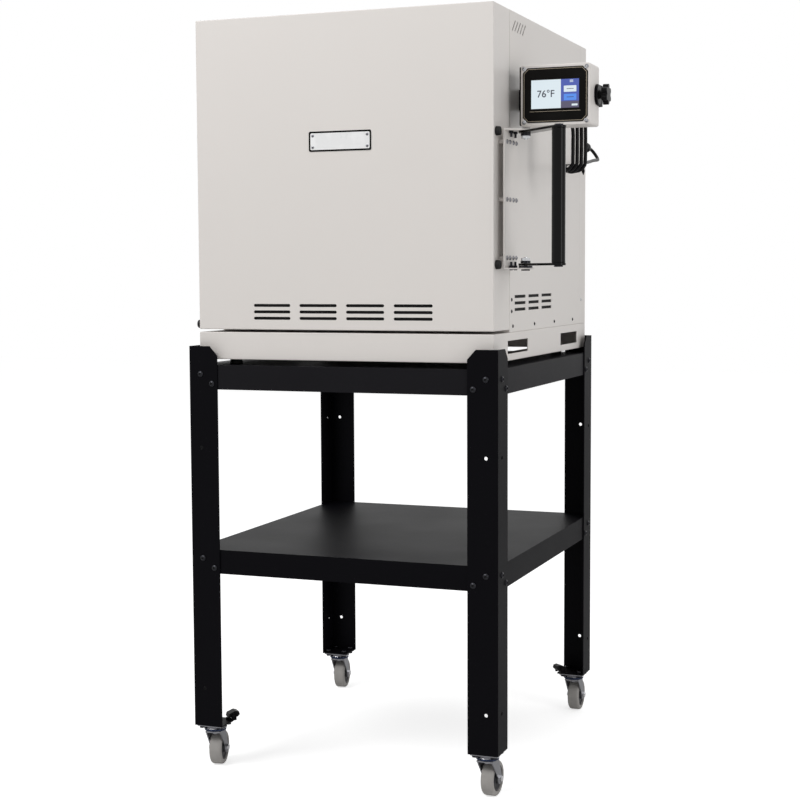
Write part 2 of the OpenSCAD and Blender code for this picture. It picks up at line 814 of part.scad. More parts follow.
// The casters trail towards the back, each turned a little about its swivel
caster_turns = [turn_front_left, turn_front_right, turn_rear_left, 0];
module at_caster(c) {
    translate([
        stand_x + swivel_in + c[0] * (stand_w - leg_w),
        stand_y + swivel_in + c[1] * (stand_d - leg_w), 0
    ]) rotate([0, 0, caster_turns[c[0] + 2 * c[1]]]) children();
}
crown_z = race_z - clear - race_h - crown_t;
module fork_side(x) {
    translate([x, 0, 0]) rotate([90, 0, 90]) linear_extrude(fork_t)
        difference() {
            union() {
                polygon([
                    [-race_r + 3, crown_z + crown_t], [race_r - 3, crown_z + crown_t],
                    [caster_trail + 11, wheel_r + 4], [caster_trail, wheel_r - 11],
                    [caster_trail - 11, wheel_r + 2]
                ]);
                translate([caster_trail, wheel_r]) circle(12);
            }
            translate([caster_trail, wheel_r]) circle(axle_r + running);
        }
}
module fork(c) {
    color(zinc) place() at_caster(c) {
        difference() {
            union() {
                rod_z(crown_z + crown_t, race_h, 0, 0, race_r);
                translate([-fork_x - fork_t, -race_r + 3, crown_z])
                    cube([2 * (fork_x + fork_t), 2 * race_r - 6, crown_t]);
                fork_side(-fork_x - fork_t);
                fork_side(fork_x);
            }
            rod_z(crown_z - 1, race_h + crown_t + 2, 0, 0, kingpin_r + running);
        }
        rod_x(-fork_x - fork_t, 2 * (fork_x + fork_t), caster_trail, wheel_r, axle_r);
        for (s = [-1, 1])
            translate([s * (fork_x + fork_t), caster_trail, wheel_r]) rotate([0, s * 90, 0])
                cylinder(h = 5, r = 7, $fn = 6);
    }
}
module fork_front_left() { fork(corners[0]); }
module fork_front_right() { fork(corners[1]); }
module fork_rear_left() { fork(corners[2]); }
module fork_rear_right() { fork(corners[3]); }
module turned_x() {
    translate([0, caster_trail, wheel_r]) rotate([0, 90, 0]) children();
}
module wheel(c) {
    w = wheel_w / 2;
    color([0.25, 0.25, 0.27]) place() at_caster(c) turned_x() rotate_extrude()
        polygon([
            [hub_bore_r, -w - 1], [11, -w - 1], [12, -w + 3], [hub_r - 3, -w + 5],
            [hub_r, -w + 3], [hub_r, w - 3], [hub_r - 3, w - 5], [12, w - 3],
            [11, w + 1], [hub_bore_r, w + 1]
        ]);
}
module tyre(c) {
    w = wheel_w / 2;
    e = (wheel_r - hub_r) / 2;
    color([0.62, 0.60, 0.57]) place() at_caster(c) turned_x() rotate_extrude() {
        translate([hub_r, -w]) square([wheel_r - e - hub_r, wheel_w]);
        translate([hub_r, -w + e]) square([wheel_r - hub_r, wheel_w - 2 * e]);
        for (s = [-1, 1]) translate([wheel_r - e, s * (w - e)]) circle(e);
    }
}
module wheel_front_left() { wheel(corners[0]); }
module wheel_front_right() { wheel(corners[1]); }
module wheel_rear_left() { wheel(corners[2]); }
module wheel_rear_right() { wheel(corners[3]); }
module tyre_front_left() { tyre(corners[0]); }
module tyre_front_right() { tyre(corners[1]); }
module tyre_rear_left() { tyre(corners[2]); }
module tyre_rear_right() { tyre(corners[3]); }

// Door
module door_shell() {
    h = top_z - door_z;
    color(cream) place() difference() {
        translate([0, 0, door_z]) cube([case_w, door_t, h]);
        translate([sheet_t, sheet_t, door_z + sheet_t])
            cube([case_w - 2 * sheet_t, door_t - 2 * sheet_t, h - 2 * sheet_t]);
        translate([chamber_x - mouth_lip, door_t - sheet_t - 1, hearth_z - mouth_lip])
            cube([chamber_w + 2 * mouth_lip, sheet_t + 2, chamber_h + 2 * mouth_lip]);
        for (g = [0:door_slot_groups - 1], r = [0:slot_rows - 1])
            translate([case_w / 2 + (g - 1.5) * door_slot_pitch, sheet_t + 1, door_z + slot_first + r * slot_rise])
                rotate([90, 0, 0]) linear_extrude(sheet_t + 2) slot(slot_len, slot_h);
    }
}
module door_insulation() {
    color(brick) place() {
        translate([sheet_t, air_gap + sheet_t, door_z + sheet_t])
            cube([case_w - 2 * sheet_t, door_t - 2 * sheet_t - air_gap, top_z - door_z - 2 * sheet_t]);
        translate([chamber_x - mouth_lip, door_t - sheet_t - 1, hearth_z - mouth_lip])
            cube([chamber_w + 2 * mouth_lip, sheet_t + 1, chamber_h + 2 * mouth_lip]);
        translate([chamber_x + plug_clear, door_t - 1, hearth_z + plug_clear])
            cube([chamber_w - 2 * plug_clear, 1 + door_gap + plug_depth, chamber_h - 2 * plug_clear]);
    }
}
module door_gasket() {
    in = 2;
    out = 26;
    color("white") place() difference() {
        translate([chamber_x - out, door_t, hearth_z - out])
            cube([chamber_w + 2 * out, door_gap - clear, chamber_h + 2 * out]);
        translate([chamber_x - in, door_t - 1, hearth_z - in])
            cube([chamber_w + 2 * in, door_gap + 1, chamber_h + 2 * in]);
    }
}
module badge_plate() {
    color(zinc) place()
        translate([(case_w - badge_w) / 2, 0, badge_z - badge_h / 2]) rotate([90, 0, 0])
            linear_extrude(badge_t) round_rect(badge_w, badge_h, 4);
}

// Bracket on the right of the door, with a flange at each end for the arms
module bracket_flange(z) {
    translate([case_w, 0, z]) linear_extrude(bracket_t) {
        translate([bracket_reach - flange_r, pivot_y]) circle(flange_r);
        polygon([
            [bracket_proud - bracket_t, bracket_front],
            [bracket_reach - flange_r + 11, pivot_y - 16.6],
            [bracket_reach - flange_r + 11, pivot_y + 16.6],
            [bracket_proud - bracket_t, bracket_back]
        ]);
    }
}
module handle_bracket() {
    color(cream) place() difference() {
        union() {
            translate([case_w + bracket_proud - bracket_t, bracket_front, bracket_z])
                cube([bracket_t, bracket_back - bracket_front, bracket_h]);
            bracket_flange(bracket_z);
            bracket_flange(bracket_top - bracket_t);
        }
        rod_z(bracket_z - 1, bracket_h + 2, pivot_x, pivot_y, pivot_bolt_r + running);
        for (y = stud_ys) rod_z(bracket_z - 1, bracket_h + 2, stud_x, y, stud_r + running);
    }
}
// Each bolt has its head on the bracket and a spacer between the bracket and the door
module bracket_bolts() {
    color([0.25, 0.25, 0.27]) place()
        for (y = bracket_bolt_ys, z = bracket_bolt_zs) {
            rod_x(case_w, bracket_proud - bracket_t, y, z, 4);
            translate([case_w + bracket_proud, y, z]) rotate([0, 90, 0])
                cylinder(h = 3, r1 = 4.8, r2 = 3.6);
        }
}
module flange_stud(y, z, dir) {
    translate([stud_x, y, z]) mirror([0, 0, dir < 0 ? 1 : 0]) {
        translate([0, 0, -stud_len]) cylinder(h = stud_len, r = stud_r);
        cylinder(h = 2, r1 = stud_nut_r, r2 = stud_nut_r - 1);
        translate([0, 0, -bracket_t - stud_nut_h]) cylinder(h = stud_nut_h, r = stud_nut_r, $fn = 6);
    }
}
module door_bumpers() {
    color(black) place() {
        for (z = [arm_top_z + arm_t / 2, arm_bottom_z + arm_t / 2])
            translate([case_w, bumper_y, z]) rotate([0, 90, 0])
                cylinder(h = bumper_len, r1 = bumper_r, r2 = bumper_r - 1);
        translate([0, bumper_y, door_z + 11]) rotate([0, -90, 0])
            cylinder(h = bumper_len, r1 = bumper_r, r2 = bumper_r - 1);
    }
}

// Each pivot is a bolt through the flange and the arm, with a bush and a nut inside
module pivot(z0, dir, gap) {
    inside = bracket_t + gap + arm_t + clear;
    translate([pivot_x, pivot_y, z0]) mirror([0, 0, dir < 0 ? 1 : 0]) {
        cylinder(h = head_h, r = nut_r, $fn = 6);
        translate([0, 0, -inside - bush_t - nut_h - 2])
            cylinder(h = inside + bush_t + nut_h + 2, r = pivot_bolt_r);
        translate([0, 0, -inside - bush_t]) cylinder(h = bush_t, r = bush_r);
        translate([0, 0, -inside - bush_t - nut_h]) cylinder(h = nut_h, r = nut_r, $fn = 6);
        if (gap > 1) translate([0, 0, -bracket_t - gap + clear]) cylinder(h = gap - clear, r = washer_r);
    }
}
module handle_pivots() {
    color([0.3, 0.3, 0.32]) place() {
        pivot(bracket_top, 1, clear);
        pivot(bracket_z, -1, washer_t);
        for (y = stud_ys) {
            flange_stud(y, bracket_top, 1);
            flange_stud(y, bracket_z, -1);
        }
    }
}
module arm(z) {
    color(black) place()
        translate([pivot_x, pivot_y, z]) rotate([0, 0, arm_angle]) linear_extrude(arm_t)
            difference() {
                union() {
                    translate([0, -arm_w / 2]) square([arm_len, arm_w]);
                    circle(arm_w / 2);
                    translate([arm_len, 0]) circle(arm_w / 2);
                }
                circle(pivot_bolt_r + running);
                translate([arm_len, 0]) circle(pivot_bolt_r + running);
            }
}
module handle_arm_top() { arm(arm_top_z); }
module handle_arm_bottom() { arm(arm_bottom_z); }
module handle_grip() {
    color(black) place() difference() {
        rod_z(grip_z, grip_len, grip_x, grip_y, grip_dia / 2);
        for (z = [grip_z - 1, arm_top_z - grip_bore])
            rod_z(z, grip_bore + 1, grip_x, grip_y, pivot_bolt_r + running);
    }
}
module grip_bolts() {
    color([0.3, 0.3, 0.32]) place() {
        hex_z(arm_top_z + arm_t, head_h, grip_x, grip_y, nut_r);
        rod_z(arm_top_z - grip_bolt_len, grip_bolt_len + arm_t, grip_x, grip_y, pivot_bolt_r);
        hex_z(arm_bottom_z - head_h, head_h, grip_x, grip_y, nut_r);
        rod_z(arm_bottom_z, grip_bolt_len + arm_t, grip_x, grip_y, pivot_bolt_r);
    }
}

// Controller
module controller_box() {
    color(cream) place() difference() {
        translate([box_x, box_y + box_d, box_z]) rotate([90, 0, 0])
            linear_extrude(box_d) round_rect(box_w, box_h, 5);
        translate([box_x + wall_t, box_y + wall_t, box_z + wall_t])
            cube([box_w - 2 * wall_t, box_d - 2 * wall_t, box_h - 2 * wall_t]);
        translate([screen_x - clear, box_y - 1, screen_z - clear])
            cube([screen_w + 2 * clear, wall_t + 2, screen_h + 2 * clear]);
        rod_x(box_x - 1, box_w + 2, tilt_y, tilt_z, tilt_pin_r + running);
        rod_y(box_y + box_d - wall_t - 1, wall_t + 2, gland_x, gland_z, cable_r + 2);
    }
}
module controller_panel() {
    n = panel_notch;
    color(black) place() translate([box_x + (box_w - panel_w) / 2, box_y, box_z + (box_h - panel_h) / 2])
        rotate([90, 0, 0]) linear_extrude(panel_t) difference() {
            polygon([
                [n, 0], [panel_w - n, 0], [panel_w, n], [panel_w, panel_h - n],
                [panel_w - n, panel_h], [n, panel_h], [0, panel_h - n], [0, n]
            ]);
            translate([
                screen_x - box_x - (box_w - panel_w) / 2 - clear,
                screen_z - box_z - (box_h - panel_h) / 2 - clear
            ]) square([screen_w + 2 * clear, screen_h + 2 * clear]);
        }
}
module touch_screen() {
    color([0.75, 0.80, 0.88]) place() {
        translate([screen_x, box_y - panel_t, screen_z])
            cube([screen_w, panel_t + wall_t, screen_h]);
        translate([screen_x - 3, box_y + wall_t, screen_z - 3])
            cube([screen_w + 6, screen_t, screen_h + 6]);
    }
}
module controller_screws() {
    color(zinc) place() {
        for (x = [box_x + 9, box_x + box_w - 9], z = [box_z + 9, box_z + box_h - 9])
            translate([x, box_y, z]) rotate([90, 0, 0]) cylinder(h = 1.8, r1 = 4, r2 = 3);
        rod_x(yoke_left - 4, 4 - clear, tilt_y, tilt_z, 7);
        rod_x(yoke_left - clear, yoke_t + 12, tilt_y, tilt_z, tilt_pin_r);
        rod_x(yoke_right - tilt_pin_in, tilt_pin_in + yoke_t + tilt_stud_len, tilt_y, tilt_z, tilt_pin_r);
    }
}
module controller_gland() {
    y = box_y + box_d;
    color(black) place() difference() {
        union() {
            translate([gland_x, y, gland_z]) rotate([-90, 0, 0]) cylinder(h = 6, r = 9.5, $fn = 6);
            rod_y(y + 6, 5, gland_x, gland_z, 8);
            translate([gland_x, y + 11, gland_z]) rotate([-90, 0, 0])
                cylinder(h = gland_len - 11, r1 = 7.5, r2 = cable_r + 1);
        }
        rod_y(y - 1, gland_len - 2, gland_x, gland_z, cable_r - 1);
    }
}
module star_knob() {
    r = knob_dia / 2;
    color(black) place() difference() {
        union() {
            rod_x(knob_x + clear, 3 - clear, tilt_y, tilt_z, yoke_end_r);
            rod_x(knob_x + 3, knob_stem - 3, tilt_y, tilt_z, 9);
            translate([knob_x + knob_stem, tilt_y, tilt_z]) rotate([0, 90, 0]) linear_extrude(knob_t) {
                circle(r - knob_lobe_r);
                for (k = [0:knob_lobes - 1])
                    rotate([0, 0, 360 * k / knob_lobes]) translate([r - knob_lobe_r, 0]) circle(knob_lobe_r);
            }
        }
        rod_x(knob_x - 1, 1 + tilt_stud_len + clear, tilt_y, tilt_z, tilt_pin_r + running);
    }
}

// Cable
module cable_drop() {
    color(black) place() tube(drop_points, cable_r, 8, [1, 0, 0]);
}
module cable_hank() {
    color(black) place() tube(hank_points, cable_r, 6, [0, 1, 0]);
}
module cable_lead() {
    color(black) place() tube(lead_points, cable_r, 8, [0, 0, 1]);
}
module cable_plug() {
    y = back_y + connector_len;
    color(black) place() {
        rod_y(y, plug_len, connector_x, connector_z, plug_r);
        translate([connector_x, y + plug_len, connector_z]) rotate([-90, 0, 0])
            cylinder(h = relief_len, r1 = 8, r2 = cable_r + 1);
    }
}

kiln_case();
rear_cover();
base_skirt();
kiln_feet();
case_insulation();
firebrick_walls();
firebrick_roof();
firebrick_hearth();
heating_elements();
thermocouple();
case_screws();
hinge_body_leaves();
hinge_pins();
controller_yoke();
rear_connectors();
leg_front_left();
leg_front_right();
leg_rear_left();
leg_rear_right();
stand_deck();
stand_shelf();
stand_bolts();
caster_plates();
door_shell();
door_insulation();
door_gasket();
badge_plate();
handle_bracket();
bracket_bolts();
door_bumpers();
hinge_door_leaves();
handle_pivots();
handle_grip();
handle_arm_top();
handle_arm_bottom();
grip_bolts();
controller_box();
controller_panel();
touch_screen();
controller_screws();
controller_gland();
star_knob();
fork_front_left();
fork_front_right();
fork_rear_left();
fork_rear_right();
wheel_front_left();
wheel_front_right();
wheel_rear_left();
wheel_rear_right();
tyre_front_left();
tyre_front_right();
tyre_rear_left();
tyre_rear_right();
brake_pedal_front_left();
brake_pedal_rear_right();
cable_drop();
cable_hank();
cable_lead();
cable_plug();
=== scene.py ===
# %% [markdown]
# # A jewellery kiln on its wheeled stand
# The kiln is a sheet-metal case lined with soft firebrick, with a door that
# swings on the left, a handle on the right and a small tilting controller.
# The CAD model is the fixed frame. This lesson dresses it: each sheet gets
# its folded edges, each fastener its head, each surface its finish.

# %% Load the frame
import json
import math

import bmesh
import bpy
from mathutils import Matrix, Vector


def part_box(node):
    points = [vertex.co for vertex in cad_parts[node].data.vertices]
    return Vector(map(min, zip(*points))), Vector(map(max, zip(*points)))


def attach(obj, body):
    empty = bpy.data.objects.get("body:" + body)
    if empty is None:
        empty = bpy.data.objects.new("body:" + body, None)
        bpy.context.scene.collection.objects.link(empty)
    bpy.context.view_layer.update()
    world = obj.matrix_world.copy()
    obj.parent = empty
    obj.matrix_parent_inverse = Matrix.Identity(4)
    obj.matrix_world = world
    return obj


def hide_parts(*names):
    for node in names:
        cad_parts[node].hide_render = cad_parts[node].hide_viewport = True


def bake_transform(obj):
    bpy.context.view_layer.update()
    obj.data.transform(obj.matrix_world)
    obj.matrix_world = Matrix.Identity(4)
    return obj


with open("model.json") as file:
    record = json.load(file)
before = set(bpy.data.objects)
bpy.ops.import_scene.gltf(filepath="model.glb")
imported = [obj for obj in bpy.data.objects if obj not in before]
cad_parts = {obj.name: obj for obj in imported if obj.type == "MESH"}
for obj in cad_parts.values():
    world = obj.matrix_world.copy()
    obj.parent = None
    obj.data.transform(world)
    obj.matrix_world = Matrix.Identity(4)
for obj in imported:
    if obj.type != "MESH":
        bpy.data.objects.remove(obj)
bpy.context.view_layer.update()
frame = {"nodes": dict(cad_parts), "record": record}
slot_of = {part["node"]: part["material_slot"] for part in frame["record"]["subparts"]}
body_of = {n: b for b, members in frame["record"]["behaviour"]["bodies"].items() for n in members}

# %% [markdown]
# Sheet-metal work is measured from two datum edges. Every size below is in
# millimetres from the left side of the case, the front of the door and the
# floor, and `at` turns such a place into the metres of the frame.

# %% A ruler in millimetres
MM = 0.001
datum_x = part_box("kiln_case")[0].x
datum_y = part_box("door_shell")[0].y


def at(x, y, z):
    return Vector((datum_x + x * MM, datum_y + y * MM, z * MM))


def in_mm(node):
    """Lowest and highest corner of a CAD node by the ruler."""
    low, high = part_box(node)
    return [Vector(((p.x - datum_x) / MM, (p.y - datum_y) / MM, p.z / MM)) for p in (low, high)]


case_low, case_high = in_mm("kiln_case")
print("case", [round(v) for v in (*case_low, *case_high)])

# %% [markdown]
# The photograph was taken from the right, with a long lens at chest height.
# Turning about the upright axis, tipping down and a trace of roll are three
# separate rotations, so the camera is built from three matrices in that order.

# %% The camera
SENSOR = 36.0
lens = bpy.data.cameras.new("camera")
lens.sensor_width = SENSOR
lens.lens = 71.65
camera = bpy.data.objects.new("camera", lens)
bpy.context.scene.collection.objects.link(camera)
camera.matrix_world = (
    Matrix.Translation(at(1680.6, -3159.7, 1124.7))
    @ Matrix.Rotation(math.radians(20.852), 4, "Z")
    @ Matrix.Rotation(math.radians(90 - 4.615), 4, "X")
    @ Matrix.Rotation(math.radians(-0.278), 4, "Z")
)
lens.clip_end = 50
bpy.context.scene.camera = camera

# %% [markdown]
# Shader maths reads best as plain expressions. A `Wire` wraps one socket, and
# adding or multiplying two wires adds the Math node that does it. A `Finish`
# is one material, and `node` is the only place where other nodes are made.

# %% Wires and finishes
class Wire:
    def __init__(self, finish, socket):
        self.finish = finish
        self.socket = socket

    def __add__(self, other):
        return self.finish.math("ADD", self, other)

    def __sub__(self, other):
        return self.finish.math("SUBTRACT", self, other)

    def __rsub__(self, other):
        return self.finish.math("SUBTRACT", other, self)

    def __mul__(self, other):
        return self.finish.math("MULTIPLY", self, other)

    def __gt__(self, other):
        return self.finish.math("GREATER_THAN", self, other)

    def __lt__(self, other):
        return self.finish.math("LESS_THAN", self, other)

    __radd__ = __add__
    __rmul__ = __mul__


class Finish:
    def __init__(self, name):
        self.material = bpy.data.materials.new(name)
        self.material.use_nodes = True
        self.tree = self.material.node_tree
        self.shader = self.tree.nodes["Principled BSDF"]

    def feed(self, socket, value):
        if isinstance(value, Wire):
            self.tree.links.new(value.socket, socket)
        else:
            socket.default_value = value

    def node(self, kind, settings=None, sockets=None, output=0):
        made = self.tree.nodes.new(kind)
        for key, value in (settings or {}).items():
            if key == "stops":
                ramp = made.color_ramp.elements
                for element, (place, colour) in zip(ramp, value):
                    element.position, element.color = place, colour
            else:
                setattr(made, key, value)
        for key, value in (sockets or {}).items():
            self.feed(made.inputs[key], value)
        return Wire(self, made.outputs[output])

    def math(self, operation, a, b=0.0):
        return self.node("ShaderNodeMath", {"operation": operation}, {0: a, 1: b})

    def mix(self, factor, a, b):
        kind = {"data_type": "RGBA"}
        return self.node("ShaderNodeMix", kind, {0: factor, 6: a, 7: b}, 2)

    def place(self):
        return self.node("ShaderNodeTexCoord", output="Object")

    def split(self, vector):
        parts = self.node("ShaderNodeSeparateXYZ", sockets={0: vector})
        return [Wire(self, parts.socket.node.outputs[i]) for i in range(3)]

    def noise(self, scale, detail=2.0, vector=None):
        sockets = {"Vector": vector or self.place(), "Scale": scale, "Detail": detail}
        return self.node("ShaderNodeTexNoise", sockets=sockets)

    def bump(self, height, depth):
        """Depth in millimetres."""
        sockets = {"Height": height, "Distance": depth * MM, "Strength": 1.0}
        self.feed(self.shader.inputs["Normal"], self.node("ShaderNodeBump", sockets=sockets))

    def set(self, **values):
        for key, value in values.items():
            self.feed(self.shader.inputs[key.replace("_", " ")], value)
        return self


def rgb(r, g, b):
    return (r, g, b, 1.0)


# %% [markdown]
# The kiln and the stand are powder coated. The powder melts into a skin with
# a faint orange peel, which shows only in how it breaks up highlights, so the
# pattern goes mostly into the bump, and a slow cloud moves the gloss a little.

# %% Powder coats
def powder_coat(name, colour, roughness, peel, shift=0.03, shine=0.5):
    coat = Finish(name)
    coat.set(Specular_IOR_Level=shine)
    cloud = coat.noise(4.0, 3.0)
    fine = coat.noise(700.0, 1.0)
    darker = rgb(*(c * (1 - shift) for c in colour[:3]))
    coat.set(
        Base_Color=coat.mix(cloud, darker, colour),
        Roughness=(cloud - 0.5) * 0.12 + (fine - 0.5) * 0.08 + roughness,
    )
    coat.bump(fine, peel)
    return coat.material


cream = powder_coat("cream_coat", rgb(0.72, 0.685, 0.655), 0.42, 0.05)
black_coat = powder_coat("black_coat", rgb(0.0024, 0.0022, 0.0034), 0.45, 0.05, 0.2, 0.05)
# The deck's coat is a lighter copy of the black coat: painted light, so that the deck's front reads
# lit.
lit_deck_coat = powder_coat("lit_deck_coat", rgb(0.011, 0.0105, 0.0125), 0.45, 0.05, 0.2, 0.05)
black_gloss = powder_coat("black_gloss", rgb(0.003, 0.0028, 0.0028), 0.10, 0.004, 0.1, 0.12)
print("coats", cream.name, black_coat.name, lit_deck_coat.name, black_gloss.name)

# %% [markdown]
# Zinc plating is bright with a soft crystal pattern, and black oxide is a dark
# oily skin on steel. Both are metal, and only their tint and gloss differ.

# %% Plated and blackened steel
def steel(name, colour, roughness, spangle):
    metal = Finish(name)
    cells = metal.node(
        "ShaderNodeTexVoronoi", sockets={"Vector": metal.place(), "Scale": 420.0}, output="Color")
    grey = metal.node("ShaderNodeRGBToBW", sockets={0: cells})
    cloud = metal.noise(60.0, 4.0)
    dull = rgb(*(c * (1 - spangle) for c in colour[:3]))
    metal.set(
        Base_Color=metal.mix(grey, dull, colour),
        Metallic=1.0,
        Roughness=(cloud - 0.5) * 0.2 + (grey - 0.5) * spangle * 0.4 + roughness,
    )
    metal.bump(cloud, 0.02)
    return metal.material


zinc = steel("zinc_plate", rgb(0.62, 0.63, 0.65), 0.30, 0.25)
bright_steel = steel("bright_steel", rgb(0.78, 0.78, 0.80), 0.18, 0.08)
black_oxide = steel("black_oxide", rgb(0.035, 0.035, 0.04), 0.32, 0.3)
grey_steel = steel("grey_steel", rgb(0.30, 0.30, 0.32), 0.36, 0.2)
# This dark blue steel is painted shade: it colours the lower ball race for the shaded gap at the
# swivel.
race_shade_steel = steel("race_shade_steel", rgb(0.030, 0.040, 0.075), 0.26, 0.2)

# %% [markdown]
# Soft firebrick is laid in courses with thin joints. The brick pattern is a
# flat one, so the two sideways coordinates are added, which carries the
# courses round the corners. The floor and the roof use the flat plan instead.

# %% Firebrick and fibre
BRICK_LONG, BRICK_HIGH = 0.2286, 0.0762


def firebrick(name, flat):
    brick = Finish(name)
    x, y, z = brick.split(brick.place())
    across, up = (x, y) if flat else (x + y, z)
    lay = brick.node("ShaderNodeCombineXYZ", sockets={0: across, 1: up})
    courses = brick.node("ShaderNodeTexBrick", sockets={
        "Vector": lay, "Scale": 1.0, "Mortar Size": 0.0012, "Mortar Smooth": 0.3,
        "Brick Width": BRICK_LONG, "Row Height": BRICK_HIGH, "Bias": 0.0,
        "Color1": rgb(0.78, 0.70, 0.58), "Color2": rgb(0.84, 0.77, 0.66),
        "Mortar": rgb(0.50, 0.44, 0.36)})
    joints = Wire(brick, courses.socket.node.outputs["Fac"])
    pores = brick.noise(480.0, 3.0)
    stain = brick.noise(9.0, 4.0)
    brick.set(
        Base_Color=brick.mix((stain - 0.55) * 1.2, courses, rgb(0.62, 0.50, 0.38)),
        Roughness=0.95,
    )
    brick.bump(pores - joints * 2.0, 0.6)
    return brick.material


def fibre(name, colour):
    felt = Finish(name)
    fluff = felt.noise(260.0, 6.0)
    dull = rgb(*(c * 0.86 for c in colour[:3]))
    felt.set(Base_Color=felt.mix(fluff, dull, colour), Roughness=0.98)
    felt.bump(fluff, 0.8)
    return felt.material


wall_brick = firebrick("wall_brick", False)
floor_brick = firebrick("floor_brick", True)
fibre_board = fibre("fibre_board", rgb(0.83, 0.82, 0.79))

# %% [markdown]
# Rubber, moulded plastic and cable jackets are all dull blacks or greys with
# a fine grain. What sets them apart is how dark and how glossy they are.

# %% Rubber and plastic
def moulded(name, colour, roughness, grain, depth, shine=0.5):
    soft = Finish(name)
    soft.set(Specular_IOR_Level=shine)
    fine = soft.noise(grain, 2.0)
    scuff = soft.noise(35.0, 5.0)
    worn = rgb(*(min(1.0, c * 1.35 + 0.004) for c in colour[:3]))
    soft.set(
        Base_Color=soft.mix((scuff - 0.45) * 1.4, colour, worn),
        Roughness=(scuff - 0.5) * 0.15 + roughness)
    soft.bump(fine, depth)
    return soft.material


rubber = moulded("black_rubber", rgb(0.008, 0.008, 0.008), 0.55, 500.0, 0.05, 0.2)
tyre_rubber = moulded("tyre_rubber", rgb(0.33, 0.315, 0.30), 0.55, 350.0, 0.06)
plastic = moulded("black_plastic", rgb(0.004, 0.004, 0.0045), 0.34, 900.0, 0.04, 0.09)
hub_plastic = moulded("hub_plastic", rgb(0.03, 0.03, 0.034), 0.42, 900.0, 0.04, 0.3)
jacket = moulded("cable_jacket", rgb(0.004, 0.004, 0.0045), 0.34, 300.0, 0.03, 0.12)
white_plate = moulded("white_plate", rgb(0.80, 0.80, 0.80), 0.30, 600.0, 0.01)
ink = moulded("black_ink", rgb(0.004, 0.0035, 0.003), 0.35, 600.0, 0.01, 0.05)
# inner_shade is painted shade: a flat black for screw recesses and the space behind the slots.
shade = moulded("inner_shade", rgb(0.006, 0.006, 0.006), 0.95, 600.0, 0.01)
gold_ink = moulded("pale_ink", rgb(0.50, 0.43, 0.33), 0.35, 600.0, 0.01, 0.2)
scorched = steel("scorched_wire", rgb(0.16, 0.145, 0.135), 0.62, 0.3)

# %% [markdown]
# A piece that is lit from behind, such as the screen, gives its own light.
# Its colour goes to the emission, and the surface itself is dark and glossy.

# %% Lit screen colours
def lit(name, colour, strength):
    glow = Finish(name)
    band = glow.noise(14.0, 1.0)
    dimmer = rgb(*(c * 0.93 for c in colour[:3]))
    glow.set(
        Base_Color=rgb(0.02, 0.02, 0.02), Roughness=0.12,
        Emission_Color=glow.mix(band, dimmer, colour), Emission_Strength=strength)
    return glow.material


screen_white = lit("screen_white", rgb(0.74, 0.84, 0.90), 0.95)
screen_blue = lit("screen_blue", rgb(0.045, 0.085, 0.42), 0.95)
screen_dusk = lit("screen_dusk", rgb(0.075, 0.065, 0.13), 0.95)
screen_sky = lit("screen_sky", rgb(0.07, 0.26, 0.85), 0.95)
screen_ink = lit("screen_ink", rgb(0.025, 0.03, 0.055), 0.95)

# %% [markdown]
# New pieces share four small steps: an empty mesh, some bmesh work, a finish,
# and the body they ride on. `Piece` keeps those steps in one place. Points are
# given in millimetres by the ruler, and are turned into metres at the end, so
# that each object sits at the origin with its place in its mesh.

